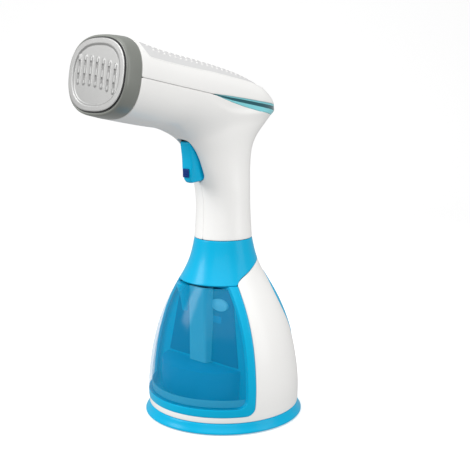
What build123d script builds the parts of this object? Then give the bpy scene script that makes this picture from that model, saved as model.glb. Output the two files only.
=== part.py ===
"""Handheld garment steamer, standing on its base.

Millimetres, +Z up. The origin is the centre of the anti-slip pad's underside, on the body's axis.
+X is forward, the way the steam head faces, and +Y is the user's left.
"""
import os
from math import cos, pi, radians, sin, tan

from build123d import *

os.makedirs("parts", exist_ok=True)

# Body of revolution: outer radius and height, from the skirt up to the neck seam
BODY_PROFILE = (
    (57.0, 8.0),
    (57.4, 22.0),
    (55.8, 40.0),
    (49.0, 70.0),
    (37.9, 95.0),
    (26.9, 115.0),
    (21.6, 134.6),
)
PROFILE_TURN = 100.0
SKIRT_Z = 8.0
NECK_SEAM_Z = 134.6
BASE_RADIUS = 60.0
PAD_DROP = 0.5
WALL = 3.0

# Tank: everything in front of a nearly upright seam, between the skirt band and the collar
TANK_LOW_Z = 12.4
TANK_TOP_Z = 103.2
SEAM_LOW_X = 21.4
SEAM_TOP_X = 14.6
SEAM_LEAN = (SEAM_LOW_X - SEAM_TOP_X) / (TANK_TOP_Z - TANK_LOW_Z)
TANK_GAP = 0.3
TANK_WALL = 2.2
TANK_RIM = 5.6
COLLAR_REAR_X = -18.0
COLLAR_REAR_Z = 118.0

# Rear box of the tank, and the bay that it slides into
BOX_REAR_X = -20.0
BOX_HALF_Y = 36.0
BOX_Z = (14.5, 42.0)
BAY_CLEARANCE = 1.2
BAY_WALL = 2.2
BAY_SET_BACK = 3.0
OUTLET_Z = 34.0
RIB_HALF_Y = 3.0
RIB_FRONT_X = 23.8
RIB_Z = (46.5, 95.5)
PLUG_Y = 15.8
PLUG_Z = 87.5
PLUG_SIZE = (17.0, 9.0)

# Head: sections square to an axis that drops towards the back
HEAD_TILT = 9.0
FACE_X = 114.5
FACE_Z = 254.4
HEAD_POWER = 2.5
HEAD_SECTIONS = (
    # distance behind the face, half width, height above the axis, depth below it
    (0.0, 30.7, 26.0, 26.3),
    (13.0, 29.6, 27.2, 27.2),
    (46.0, 27.0, 24.9, 28.0),
    (83.0, 25.0, 23.7, 26.0),
    (115.0, 22.6, 21.5, 20.0),
    (137.0, 20.2, 17.5, 12.0),
    (150.0, 16.6, 12.8, 7.0),
    (160.0, 11.2, 7.8, 4.0),
    (166.0, 4.5, 3.0, 2.6),
)
BEZEL_DEPTH = 13.0
SHELL_WALL = 2.4
PANEL_DROP = 0.8

# Neck: level sections that spread forwards and backwards into the head
NECK_TAPER_Z = 160.0
NECK_SECTIONS = (
    # height, reach forwards, reach backwards, half width
    (NECK_TAPER_Z, 20.3, 20.3, 20.3),
    (172.0, 22.0, 20.2, 20.2),
    (184.0, 26.4, 20.3, 20.0),
    (194.0, 30.6, 21.0, 20.2),
    (202.0, 35.6, 22.8, 20.7),
    (210.0, 43.0, 28.6, 21.4),
    (218.0, 49.5, 38.5, 22.0),
    (226.0, 54.0, 49.0, 22.0),
)

# Seam between the head's top cover and the lower shells, where the accent wedge starts
SEAM_TIP = (31.4, 240.8)
SEAM_ANGLE = 9.9
ACCENT_ABOVE = ((14.0, 1.8), (0.0, 2.4), (-17.5, 3.0), (-60.0, 5.0))
ACCENT_BELOW = ((22.7, 1.9), (14.0, 3.0), (0.0, 3.9), (-60.0, 4.2))

# Steam plate
PLATE_HALF = (29.2, 24.0)
PLATE_POWER = 2.5
PLATE_FRONT = -1.2
PLATE_BACK = 2.6
RIB_COUNT = 7
RIB_PITCH = 6.3

# Trigger
PIVOT_X = 29.0
PIVOT_Z = 202.0
PIN_RADIUS = 1.5
PIN_REACH = 10.4
TRIGGER_HALF_Y = 5.2
LOCK_TRAVEL = 4.0

CORD_Z = 20.0
CORD_BORE = 3.6

# Water hoses and the nipples that they push onto
HOSE_RADIUS = 3.4
HOSE_BORE = 2.4
NIPPLE_RADIUS = 2.35

SIDE = 90.0


def finish(piece, name):
    """Label a finished piece and write it as its own file."""
    piece.part.label = name
    export_step(piece.part, f"parts/{name}.step")


def seam_x(z):
    """X of the seam between tank and rear shell at height z."""
    return SEAM_LOW_X - (z - TANK_LOW_Z) * SEAM_LEAN


def bell_form(inset, low=SKIRT_Z, top=NECK_SEAM_Z):
    """Solid body of revolution, taken in by inset, between two heights."""
    with BuildPart() as form:
        with BuildSketch(Plane.XZ.rotated((0, 0, PROFILE_TURN))):
            with BuildLine():
                wall = Spline([(r - inset, z) for r, z in BODY_PROFILE])
                Polyline(wall @ 1, (0, NECK_SEAM_Z), (0, SKIRT_Z), wall @ 0)
            make_face()
        revolve(axis=Axis.Z)
        if low > SKIRT_Z:
            split(bisect_by=Plane.XY.offset(low))
        if top < NECK_SEAM_Z:
            split(bisect_by=Plane.XY.offset(top), keep=Keep.BOTTOM)
    return form.part


def side_prism(points, half=SIDE, rounded=None, radius=0.0):
    """A shape drawn from the side (x, z), run half either side of the middle plane."""
    with BuildPart() as prism:
        with BuildSketch(Plane.XZ) as outline:
            with BuildLine():
                Polyline(*points, close=True)
            make_face()
            if rounded:
                corner = outline.vertices().sort_by_distance(Vector(rounded[0], 0, rounded[1]))[0]
                fillet(corner, radius)
        extrude(amount=half, both=True)
    return prism.part


def tank_zone(gap):
    """Side shape of the tank, shrunk by gap, with its lower rear corner rounded."""
    low, top = TANK_LOW_Z + gap, TANK_TOP_Z - gap
    corner = (seam_x(low) + gap, low)
    points = (corner, (SIDE, low), (SIDE, top), (seam_x(top) + gap, top))
    return side_prism(points, rounded=corner, radius=6.0)


def collar_zone():
    """Side shape of the collar: low in front, rising to a ring at the back."""
    return side_prism(
        (
            (SIDE, TANK_TOP_Z),
            (SEAM_TOP_X, TANK_TOP_Z),
            (COLLAR_REAR_X, COLLAR_REAR_Z),
            (-SIDE, COLLAR_REAR_Z),
            (-SIDE, NECK_SEAM_Z),
            (SIDE, NECK_SEAM_Z),
        )
    )


def block(x, y, z):
    """A box between two x, two y and two z values."""
    return side_prism(((x[0], z[0]), (x[1], z[0]), (x[1], z[1]), (x[0], z[1])), half=(y[1] - y[0]) / 2).moved(
        Location((0, (y[0] + y[1]) / 2, 0))
    )


def face_plane(depth):
    """Plane square to the head's axis, depth behind the face; x is left, y is up."""
    tilt = radians(HEAD_TILT)
    origin = (FACE_X - depth * cos(tilt), 0, FACE_Z - depth * sin(tilt))
    return Plane(origin=origin, x_dir=(0, 1, 0), z_dir=(cos(tilt), 0, sin(tilt)))


def egg_points(right, left, up, down, power, start=-52.5, count=24):
    """Points round a superellipse with its own reach in each direction, from a start angle."""
    points = []
    for step in range(count):
        angle = radians(start) + 2 * pi * step / count
        c, s = cos(angle), sin(angle)
        x = (right if c > 0 else left) * abs(c) ** (2 / power) * (1 if c > 0 else -1)
        y = (up if s > 0 else down) * abs(s) ** (2 / power) * (1 if s > 0 else -1)
        points.append((x, y))
    return points


def head_form(inset, start=0):
    """Solid head, taken in by inset, from section number start to the back."""
    shorten = 1 - inset / HEAD_SECTIONS[-1][0]
    with BuildPart() as form:
        for depth, half, up, down in HEAD_SECTIONS[start:]:
            keep_front = depth if depth <= BEZEL_DEPTH else depth * shorten
            with BuildSketch(face_plane(keep_front)):
                with BuildLine():
                    Spline(
                        egg_points(half - inset, half - inset, up - inset, down - inset, HEAD_POWER),
                        periodic=True,
                    )
                make_face()
        loft()
    return form.part


def neck_form(inset):
    """Solid neck, taken in by inset, from the collar seam up into the head."""
    seam_radius = BODY_PROFILE[-1][0]
    foot = (NECK_SEAM_Z, seam_radius, seam_radius, seam_radius)
    with BuildPart() as form:
        for sections in ((foot, NECK_SECTIONS[0]), NECK_SECTIONS):
            for height, front, back, half in sections:
                reach = (front - inset, back - inset, half - inset, half - inset)
                with BuildSketch(Plane.XY.offset(height)):
                    with BuildLine():
                        Spline(egg_points(*reach, 2.0, start=97.5), periodic=True)
                    make_face()
            loft()
    return form.part


def rod(start, end, radius, bore=0.0):
    """A straight rod or tube between two points."""
    axis = Vector(end) - Vector(start)
    with BuildPart() as bar:
        with BuildSketch(Plane(origin=start, z_dir=axis)):
            Circle(radius)
            if bore:
                Circle(bore, mode=Mode.SUBTRACT)
        extrude(amount=axis.length)
    return bar.part


def pipe(points, bend, radius, bore=0.0):
    """A rod or tube along straight runs joined by tangent arcs."""
    with BuildPart() as tube:
        with BuildLine() as route:
            FilletPolyline(*points, radius=bend)
        with BuildSketch(Plane(origin=route.line @ 0, z_dir=route.line % 0)):
            Circle(radius)
            if bore:
                Circle(bore, mode=Mode.SUBTRACT)
        sweep(path=route.line)
    return tube.part


def oval_plane(back):
    """Plane of the tank's back wall at the fill plug, moved back by a distance; x is left."""
    return Plane(
        origin=(seam_x(PLUG_Z) + TANK_GAP - back, PLUG_Y, PLUG_Z),
        x_dir=(0, 1, 0),
        z_dir=(-1, 0, -SEAM_LEAN),
    )


def screw(height, head_radius, head_height, shank_radius, length):
    """A pan-head screw standing on its head at the given height, pointing up."""
    with BuildPart(Plane.XY.offset(height)) as body:
        Cylinder(head_radius, head_height, align=(Align.CENTER, Align.CENTER, Align.MIN))
        Cylinder(shank_radius, head_height + length, align=(Align.CENTER, Align.CENTER, Align.MIN))
        with Locations((0, 0, 0)):
            Box(head_radius * 1.4, 0.8, 0.9, mode=Mode.SUBTRACT)
            Box(0.8, head_radius * 1.4, 0.9, mode=Mode.SUBTRACT)
    return body.part


# ---------------------------------------------------------------- base
BASE_SCREW_RING = 47.0
BASE_PLATE_RADIUS = 56.8
BASE_PLATE_TOP = 3.2

with BuildPart() as base_ring:
    with BuildSketch(Plane.XZ):
        with BuildLine():
            low = Line((BASE_RADIUS - 0.6, PAD_DROP), (BASE_RADIUS, PAD_DROP + 1.4))
            flare = TangentArc(low @ 1, (57.0, SKIRT_Z), tangent=(0, 1))
            Polyline(
                flare @ 1,
                (52.0, SKIRT_Z),
                (52.0, BASE_PLATE_TOP),
                (57.0, BASE_PLATE_TOP),
                (57.0, PAD_DROP),
                low @ 0,
            )
        make_face()
    revolve(axis=Axis.Z)
finish(base_ring, "base_ring")

with BuildPart() as base_plate:
    with BuildSketch(Plane.XY.offset(PAD_DROP)):
        Circle(BASE_PLATE_RADIUS)
    extrude(amount=BASE_PLATE_TOP - PAD_DROP)
    with BuildSketch(Plane.XY.offset(PAD_DROP)):
        Circle(42.2)
    extrude(amount=1.1, mode=Mode.SUBTRACT)
    with BuildSketch(Plane.XY.offset(PAD_DROP)):
        with PolarLocations(BASE_SCREW_RING, 4, start_angle=45):
            Circle(3.4)
    extrude(amount=1.4, mode=Mode.SUBTRACT)
    with BuildSketch(Plane.XY.offset(PAD_DROP)):
        with PolarLocations(BASE_SCREW_RING, 4, start_angle=45):
            Circle(1.7)
    extrude(amount=BASE_PLATE_TOP, mode=Mode.SUBTRACT)
finish(base_plate, "base_plate")

with BuildPart() as anti_slip_pad:
    with BuildSketch(Plane.XY):
        Circle(42.0)
    extrude(amount=PAD_DROP + 1.1)
    chamfer(anti_slip_pad.edges().group_by(Axis.Z)[0], 0.3)
finish(anti_slip_pad, "anti_slip_pad")

base_screw = screw(PAD_DROP + 0.1, 3.1, 1.3, 1.4, 5.8)
with BuildPart() as base_screws:
    with PolarLocations(BASE_SCREW_RING, 4, start_angle=45):
        add(base_screw)
finish(base_screws, "base_screws")

# ---------------------------------------------------------------- rear shell and its panel
SHELF_TOP = 11.0
INSERT_DEPTH = 1.6
INSERT_PROUD = 0.3
INSERT_CENTRE_Z = 72.0
INSERT_HALF = (37.0, 40.0)


def insert_zone(gap):
    """Oval outline of the back panel, run backwards from the middle of the body."""
    with BuildPart() as zone:
        with BuildSketch(Plane.YZ):
            with Locations((0, INSERT_CENTRE_Z)):
                Ellipse(INSERT_HALF[0] + gap, INSERT_HALF[1] + gap)
        extrude(amount=-SIDE)
    return zone.part


bell = bell_form(0)
bell_inner = bell_form(WALL)
shelf = bell_form(0.2, top=SHELF_TOP)
insert_cut = bell_form(0) - bell_form(INSERT_DEPTH)
insert_skin = bell_form(-INSERT_PROUD) - bell_form(INSERT_DEPTH)

with BuildPart() as rear_shell:
    add(bell)
    add(bell_inner, mode=Mode.SUBTRACT)
    add(tank_zone(0), mode=Mode.SUBTRACT)
    add(collar_zone(), mode=Mode.SUBTRACT)
    add(shelf)
    with BuildSketch(Plane.XY.offset(SKIRT_Z)):
        with PolarLocations(BASE_SCREW_RING, 4, start_angle=45):
            Circle(4.0)
    extrude(amount=BASE_PLATE_TOP - SKIRT_Z)
    with BuildSketch(Plane.XY.offset(BASE_PLATE_TOP)):
        with PolarLocations(BASE_SCREW_RING, 4, start_angle=45):
            Circle(1.4)
    extrude(amount=5.6, mode=Mode.SUBTRACT)
    add(insert_cut & insert_zone(0.2), mode=Mode.SUBTRACT)
    with BuildSketch(Plane.YZ):
        with Locations((0, CORD_Z)):
            Circle(5.5)
    extrude(amount=-SIDE, mode=Mode.SUBTRACT)
finish(rear_shell, "rear_shell")

with BuildPart() as rear_panel:
    add(insert_skin & insert_zone(0))
finish(rear_panel, "rear_panel")

# ---------------------------------------------------------------- collar
SPIGOT_RADIUS = 17.6

collar_floor = bell_form(WALL - 0.1, low=TANK_TOP_Z, top=TANK_TOP_Z + 2.2)
collar_floor_cut = block((-SIDE, SEAM_TOP_X), (-SIDE, SIDE), (SKIRT_Z, NECK_SEAM_Z))
collar_deck = bell_form(WALL - 0.1, low=126.0, top=128.2)

with BuildPart() as collar:
    add(bell)
    add(bell_inner, mode=Mode.SUBTRACT)
    add(collar_zone(), mode=Mode.INTERSECT)
    add(collar_floor - collar_floor_cut)
    add(collar_deck)
    with BuildSketch(Plane.XY.offset(126.0)):
        Circle(SPIGOT_RADIUS)
    extrude(amount=20.0)
    with BuildSketch(Plane.XY.offset(120.0)):
        Circle(SPIGOT_RADIUS - 2.4)
    extrude(amount=30.0, mode=Mode.SUBTRACT)
finish(collar, "collar")

# ---------------------------------------------------------------- tank
def recess_block(wall):
    """Room for the bay's rib in the tank's back, with a wall round it."""
    half = RIB_HALF_Y + 0.9 + wall
    heights = (RIB_Z[0] - 1.2 - wall, RIB_Z[1] + 1.2 + wall)
    return block((-SIDE, RIB_FRONT_X + BAY_CLEARANCE + wall), (-half, half), heights)


CLEAR_LOW_Z = TANK_LOW_Z + 6.0
clear_corner = (seam_x(CLEAR_LOW_Z) + TANK_RIM, CLEAR_LOW_Z)
clear_top = TANK_TOP_Z - TANK_GAP
clear_zone = side_prism(
    (clear_corner, (SIDE, CLEAR_LOW_Z), (SIDE, clear_top), (seam_x(clear_top) + TANK_RIM, clear_top)),
    rounded=clear_corner,
    radius=7.0,
)
front_hollow = bell_form(TANK_WALL) & tank_zone(TANK_GAP + TANK_WALL)

with BuildPart() as tank_front:
    add(bell & clear_zone)
    add(front_hollow, mode=Mode.SUBTRACT)
finish(tank_front, "tank_front")

rear_box = block((BOX_REAR_X, seam_x(BOX_Z[1]) + 2.0), (-BOX_HALF_Y, BOX_HALF_Y), BOX_Z)
rear_box_hollow = block(
    (BOX_REAR_X + TANK_WALL, 30.0),
    (-BOX_HALF_Y + TANK_WALL, BOX_HALF_Y - TANK_WALL),
    (BOX_Z[0] + 0.4, BOX_Z[1] - TANK_WALL),
)

with BuildPart() as tank_back:
    add(bell & tank_zone(TANK_GAP))
    add(front_hollow, mode=Mode.SUBTRACT)
    add(tank_front.part, mode=Mode.SUBTRACT)
    add(recess_block(TANK_WALL) & tank_zone(TANK_GAP))
    add(rear_box)
    add(recess_block(0), mode=Mode.SUBTRACT)
    add(rear_box_hollow, mode=Mode.SUBTRACT)
    with BuildSketch(oval_plane(0.5)):
        SlotOverall(PLUG_SIZE[0] + 0.4, PLUG_SIZE[1] + 0.4)
    extrude(amount=-TANK_WALL - 1.0, mode=Mode.SUBTRACT)
    add(rod((BOX_REAR_X + 0.5, 0, OUTLET_Z), (BOX_REAR_X - 5.5, 0, OUTLET_Z), 3.0))
    add(rod((BOX_REAR_X + 5.0, 0, OUTLET_Z), (BOX_REAR_X - 6.0, 0, OUTLET_Z), 1.6), mode=Mode.SUBTRACT)
finish(tank_back, "tank_back")

with BuildPart() as tank_plug:
    with BuildSketch(oval_plane(0)):
        SlotOverall(PLUG_SIZE[0] + 1.6, PLUG_SIZE[1] + 3.0)
    extrude(amount=1.4)
    with BuildSketch(oval_plane(0)):
        SlotOverall(*PLUG_SIZE)
    extrude(amount=-TANK_WALL - 1.2)
finish(tank_plug, "tank_plug")

SEAL_RADIUS = 3.75
with BuildPart() as tank_seal:
    with BuildSketch(Plane.XY):
        with Locations((BOX_REAR_X - 3.2, SEAL_RADIUS)):
            Circle(0.75)
    revolve(axis=Axis((0, 0, 0), (1, 0, 0)))
tank_seal.part = tank_seal.part.moved(Location((0, 0, OUTLET_Z)))
finish(tank_seal, "tank_seal")

with BuildPart() as intake_tube:
    add(
        pipe(
            (
                (BOX_REAR_X + TANK_WALL, 0, OUTLET_Z),
                (-11.0, 0, OUTLET_Z),
                (-11.0, 0, 21.0),
            ),
            4.0,
            2.6,
            1.6,
        )
    )
finish(intake_tube, "intake_tube")

with BuildPart() as intake_filter:
    add(rod((-11.0, 0, 15.2), (-11.0, 0, 23.0), 5.0))
    add(rod((-11.0, 0, 21.0), (-11.0, 0, 24.0), 2.6), mode=Mode.SUBTRACT)
    add(rod((-11.0, 0, 16.4), (-11.0, 0, 21.0), 3.8), mode=Mode.SUBTRACT)
    with Locations((-11.0, 0, 18.6)):
        with PolarLocations(4.4, 8):
            Box(3.0, 1.6, 3.0, mode=Mode.SUBTRACT)
finish(intake_filter, "intake_filter")

# ---------------------------------------------------------------- tank bay
bay_outer = block(
    (BOX_REAR_X - BAY_CLEARANCE - BAY_WALL, SEAM_TOP_X),
    (-BOX_HALF_Y - BAY_CLEARANCE - BAY_WALL, BOX_HALF_Y + BAY_CLEARANCE + BAY_WALL),
    (SHELF_TOP, BOX_Z[1] + BAY_CLEARANCE + BAY_WALL),
)
bay_space = block(
    (BOX_REAR_X - BAY_CLEARANCE, SIDE),
    (-BOX_HALF_Y - BAY_CLEARANCE, BOX_HALF_Y + BAY_CLEARANCE),
    (SHELF_TOP + 1.6, BOX_Z[1] + BAY_CLEARANCE),
)
bay_screen = side_prism(
    (
        (seam_x(BOX_Z[1]) - BAY_SET_BACK - BAY_WALL, BOX_Z[1] + BAY_CLEARANCE),
        (seam_x(BOX_Z[1]) - BAY_SET_BACK, BOX_Z[1] + BAY_CLEARANCE),
        (seam_x(TANK_TOP_Z) - BAY_SET_BACK, TANK_TOP_Z),
        (seam_x(TANK_TOP_Z) - BAY_SET_BACK - BAY_WALL, TANK_TOP_Z),
    )
)
BAY_BACK_X = BOX_REAR_X - BAY_CLEARANCE - BAY_WALL

with BuildPart() as tank_bay:
    add(bay_screen & bell_form(WALL + 0.3))
    add(block((8.0, RIB_FRONT_X), (-RIB_HALF_Y, RIB_HALF_Y), RIB_Z))
    add(bay_outer)
    add(bay_space, mode=Mode.SUBTRACT)
    add(rod((BAY_BACK_X + 0.5, 0, OUTLET_Z), (BAY_BACK_X - 4.6, 0, OUTLET_Z), 6.4))
    add(rod((BAY_BACK_X + 8.0, 0, OUTLET_Z), (BAY_BACK_X - 3.0, 0, OUTLET_Z), 4.6), mode=Mode.SUBTRACT)
    add(rod((BAY_BACK_X - 4.0, 0, OUTLET_Z), (BAY_BACK_X - 9.0, 0, OUTLET_Z), NIPPLE_RADIUS))
    add(rod((BAY_BACK_X, 0, OUTLET_Z), (BAY_BACK_X - 10.0, 0, OUTLET_Z), 1.4), mode=Mode.SUBTRACT)
finish(tank_bay, "tank_bay")

# ---------------------------------------------------------------- pump, hoses and wiring
PUMP_X = -9.0
PUMP_RADIUS = 13.0
PUMP_Z = (47.0, 80.0)
PUMP_INLET_Z = 53.0
HOSE_TURN_X = BAY_BACK_X - 14.0

with BuildPart() as water_pump:
    add(rod((PUMP_X, 0, PUMP_Z[0]), (PUMP_X, 0, PUMP_Z[1]), PUMP_RADIUS))
    add(rod((PUMP_X, 0, PUMP_Z[1]), (PUMP_X, 0, PUMP_Z[1] + 9.0), NIPPLE_RADIUS))
    add(rod((PUMP_X - 10.0, 0, PUMP_INLET_Z), (PUMP_X - PUMP_RADIUS - 6.0, 0, PUMP_INLET_Z), NIPPLE_RADIUS))
    chamfer(water_pump.edges().filter_by(GeomType.CIRCLE).sort_by(Axis.Z)[0], 1.0)
    with Locations((PUMP_X, 0, PUMP_Z[0] + 1.5)):
        Box(8.0, 30.0, 3.0)
finish(water_pump, "water_pump")

with BuildPart() as suction_hose:
    add(
        pipe(
            (
                (BAY_BACK_X - 4.7, 0, OUTLET_Z),
                (HOSE_TURN_X, 0, OUTLET_Z),
                (HOSE_TURN_X, 0, PUMP_INLET_Z),
                (PUMP_X - PUMP_RADIUS - 0.2, 0, PUMP_INLET_Z),
            ),
            6.0,
            HOSE_RADIUS,
            HOSE_BORE,
        )
    )
finish(suction_hose, "suction_hose")

INLET_DEPTH = 34.0


def head_axis_point(depth, side=0.0, up=0.0):
    """Point at a depth behind the face, to the left and up from the head's axis."""
    return tuple(face_plane(depth).from_local_coords((side, up, 0)))


HOSE_UP_DEPTH = (FACE_X - PUMP_X) / cos(radians(HEAD_TILT))

with BuildPart() as steam_hose:
    add(
        pipe(
            (
                (PUMP_X, 0, PUMP_Z[1] + 0.2),
                (PUMP_X, 0, FACE_Z - HOSE_UP_DEPTH * sin(radians(HEAD_TILT))),
                head_axis_point(INLET_DEPTH + 0.2),
            ),
            14.0,
            HOSE_RADIUS,
            HOSE_BORE,
        )
    )
finish(steam_hose, "steam_hose")

with BuildPart() as control_board:
    add(block((-40.4, -38.8), (-14.0, 14.0), (57.0, 77.0)))
    add(block((-38.9, -33.0), (-12.0, -3.0), (60.0, 70.0)))
    add(rod((-38.9, 5.0, 66.0), (-31.0, 5.0, 66.0), 3.6))
    add(block((-38.9, -36.4), (-1.0, 12.0), (72.0, 76.0)))
finish(control_board, "control_board")

WIRE_RADIUS = 1.3
WIRE_Y = 5.0
WIRE_X = -12.0
with BuildPart() as power_leads:
    for side in (-1, 1):
        add(
            pipe(
                (
                    (-37.5, side * WIRE_Y, 77.3),
                    (-34.5, side * WIRE_Y, 84.0),
                    (WIRE_X, side * WIRE_Y, 100.0),
                    (WIRE_X, side * WIRE_Y, 234.0),
                    head_axis_point(52.0, side * WIRE_Y, 0.0),
                ),
                4.0,
                WIRE_RADIUS,
            )
        )
finish(power_leads, "power_leads")

with BuildPart() as cord_gland:
    add(rod((-59.6, 0, CORD_Z), (-57.5, 0, CORD_Z), 8.0))
    add(rod((-58.0, 0, CORD_Z), (-46.0, 0, CORD_Z), 5.4))
    add(rod((-52.6, 0, CORD_Z), (-50.0, 0, CORD_Z), 7.0))
    add(rod((-60.0, 0, CORD_Z), (-45.0, 0, CORD_Z), CORD_BORE), mode=Mode.SUBTRACT)
finish(cord_gland, "cord_gland")

with BuildPart() as cord_clamp:
    add(block((-44.0, -37.0), (-9.0, 9.0), (SHELF_TOP, 25.5)))
    add(rod((-46.0, 0, CORD_Z), (-34.0, 0, CORD_Z), CORD_BORE), mode=Mode.SUBTRACT)
finish(cord_clamp, "cord_clamp")

# ---------------------------------------------------------------- head and neck shells
TRIGGER_GAP = 0.6
opening_zone = side_prism(
    ((14.0, 175.4), (60.0, 175.4), (60.0, 209.0), (14.0, 209.0)),
    half=TRIGGER_HALF_Y + TRIGGER_GAP,
)
tilt = radians(HEAD_TILT)
seam_rise = tan(radians(SEAM_ANGLE))


def seam_z(x):
    """Height of the seam between top cover and lower shells at x."""
    return SEAM_TIP[1] + (x - SEAM_TIP[0]) * seam_rise


above_seam = side_prism(((-SIDE, seam_z(-SIDE)), (140.0, seam_z(140.0)), (140.0, 320.0), (-SIDE, 320.0)))
accent_top = [(x, seam_z(x) + rise) for x, rise in ACCENT_ABOVE]
accent_bottom = [(x, seam_z(x) - drop) for x, drop in reversed(ACCENT_BELOW)]
accent_zone = side_prism((SEAM_TIP, *accent_top, *accent_bottom))
front_of_shells = face_plane(BEZEL_DEPTH)
head = head_form(0)
head_inner = head_form(SHELL_WALL)
handle_walls = (head + neck_form(0)) - (head_inner + neck_form(SHELL_WALL))
with BuildPart() as handle_skin:
    add(handle_walls)
    split(bisect_by=front_of_shells, keep=Keep.BOTTOM)

PANEL_OUTLINE = ((17.0, 23.6), (66.0, 20.4), (107.0, 17.4), (130.0, 14.8), (146.0, 11.4))


def panel_zone(gap):
    """Outline of the vent panel, drawn along the head's axis and run upwards."""
    left = [(depth, half + gap) for depth, half in PANEL_OUTLINE]
    left[0] = (left[0][0] - gap, left[0][1])
    left[-1] = (left[-1][0] + gap, left[-1][1])
    right = [(depth, -half) for depth, half in reversed(left)]
    back = (-cos(tilt), 0, -sin(tilt))
    up = (-sin(tilt), 0, cos(tilt))
    along = Plane(origin=(FACE_X, 0, FACE_Z), x_dir=back, z_dir=up)
    with BuildPart() as zone:
        with BuildSketch(along) as outline:
            with BuildLine():
                Polyline(*left, *right, close=True)
            make_face()
            fillet(outline.vertices(), 5.0)
        extrude(amount=60.0)
    return zone.part


with BuildPart() as head_top_cover:
    add(handle_skin.part)
    add(above_seam, mode=Mode.INTERSECT)
    add(accent_zone, mode=Mode.SUBTRACT)
    add(panel_zone(0.15), mode=Mode.SUBTRACT)
finish(head_top_cover, "head_top_cover")

with BuildPart() as vent_panel:
    add(head_form(PANEL_DROP))
    add(head_inner, mode=Mode.SUBTRACT)
    add(panel_zone(0), mode=Mode.INTERSECT)
finish(vent_panel, "vent_panel")

with BuildPart() as rear_accent:
    add(handle_skin.part)
    add(accent_zone, mode=Mode.INTERSECT)
finish(rear_accent, "rear_accent")

with BuildPart() as handle_lower:
    add(handle_skin.part)
    add(above_seam, mode=Mode.SUBTRACT)
    add(accent_zone, mode=Mode.SUBTRACT)
    add(opening_zone, mode=Mode.SUBTRACT)

pin_hole = rod((PIVOT_X, -PIN_REACH, PIVOT_Z), (PIVOT_X, PIN_REACH, PIVOT_Z), PIN_RADIUS)
handle_solid = head + neck_form(0)
for name, sign in (("handle_left_shell", 1), ("handle_right_shell", -1)):
    half_zone = block((-SIDE, 140.0), (0.0, SIDE) if sign > 0 else (-SIDE, 0.0), (100.0, 300.0))
    pin_boss = rod((PIVOT_X, sign * 6.4, PIVOT_Z), (PIVOT_X, sign * 20.0, PIVOT_Z), 3.2)
    post = rod((6.0, sign * 3.4, 184.0), (6.0, sign * 19.0, 184.0), 2.2)
    with BuildPart() as half_shell:
        add(handle_lower.part)
        add(half_zone, mode=Mode.INTERSECT)
        add(pin_boss & handle_solid)
        add(post & handle_solid)
        add(pin_hole, mode=Mode.SUBTRACT)
    finish(half_shell, name)

# ---------------------------------------------------------------- bezel, plate and heater
with BuildPart() as bezel:
    add(head)
    split(bisect_by=front_of_shells, keep=Keep.TOP)
    with BuildSketch(face_plane(-1.0)):
        with BuildLine():
            Spline(egg_points(29.7, 29.7, 24.5, 24.5, PLATE_POWER), periodic=True)
        make_face()
    extrude(amount=-5.0, mode=Mode.SUBTRACT)
    with BuildSketch(face_plane(-1.0)):
        with BuildLine():
            Spline(egg_points(27.0, 27.0, 22.0, 22.0, PLATE_POWER), periodic=True)
        make_face()
    extrude(amount=-20.0, mode=Mode.SUBTRACT)
finish(bezel, "bezel")

with BuildPart() as plate_gasket:
    for half, height, mode in ((29.7, 24.5, Mode.ADD), (PLATE_HALF[0], PLATE_HALF[1], Mode.SUBTRACT)):
        with BuildSketch(face_plane(0.2)):
            with BuildLine():
                Spline(egg_points(half, half, height, height, PLATE_POWER), periodic=True)
            make_face()
        extrude(amount=-3.4, mode=mode)
finish(plate_gasket, "plate_gasket")


def rib_centre(y):
    """Height on the plate of the middle of the steam rib at y."""
    return 2.2 - 0.16 * y - 0.0038 * y * y


rib_sides = [RIB_PITCH * n for n in range(-(RIB_COUNT // 2), RIB_COUNT // 2 + 1)]
rib_places = [(y, rib_centre(y)) for y in rib_sides]
hole_places = [(y, u + step) for y, u in rib_places for step in (-4.5, 4.5)]

with BuildPart() as steam_plate:
    with BuildSketch(face_plane(PLATE_FRONT)):
        with BuildLine():
            Spline(egg_points(*[PLATE_HALF[0]] * 2, *[PLATE_HALF[1]] * 2, PLATE_POWER), periodic=True)
        make_face()
    extrude(amount=PLATE_FRONT - PLATE_BACK)
    with BuildSketch(face_plane(PLATE_FRONT)):
        with Locations(*rib_places):
            SlotOverall(23.0, 3.2, rotation=90)
    extrude(amount=0.8)
    with BuildSketch(face_plane(PLATE_FRONT)):
        with Locations(*hole_places):
            SlotOverall(3.8, 1.7, rotation=90)
    extrude(amount=0.8, mode=Mode.SUBTRACT)
    with BuildSketch(face_plane(PLATE_FRONT)):
        with Locations(*hole_places):
            SlotOverall(3.8, 1.7, rotation=90)
    extrude(amount=-6.0, mode=Mode.SUBTRACT)
finish(steam_plate, "steam_plate")

BLOCK_FRONT = PLATE_BACK
BLOCK_BACK = 20.0
with BuildPart() as heating_block:
    with BuildSketch(face_plane(BLOCK_FRONT)):
        with BuildLine():
            Spline(egg_points(25.0, 25.0, 20.0, 20.0, PLATE_POWER), periodic=True)
        make_face()
    extrude(amount=BLOCK_FRONT - BLOCK_BACK)
    with BuildSketch(face_plane(BLOCK_FRONT)):
        RectangleRounded(42.0, 22.0, 6.0)
    extrude(amount=-6.0, mode=Mode.SUBTRACT)
    add(rod(head_axis_point(BLOCK_BACK - 1), head_axis_point(INLET_DEPTH + 8.0), NIPPLE_RADIUS))
    add(rod(head_axis_point(BLOCK_BACK - 12.5), head_axis_point(INLET_DEPTH + 9.0), 1.2), mode=Mode.SUBTRACT)
finish(heating_block, "heating_block")

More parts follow.
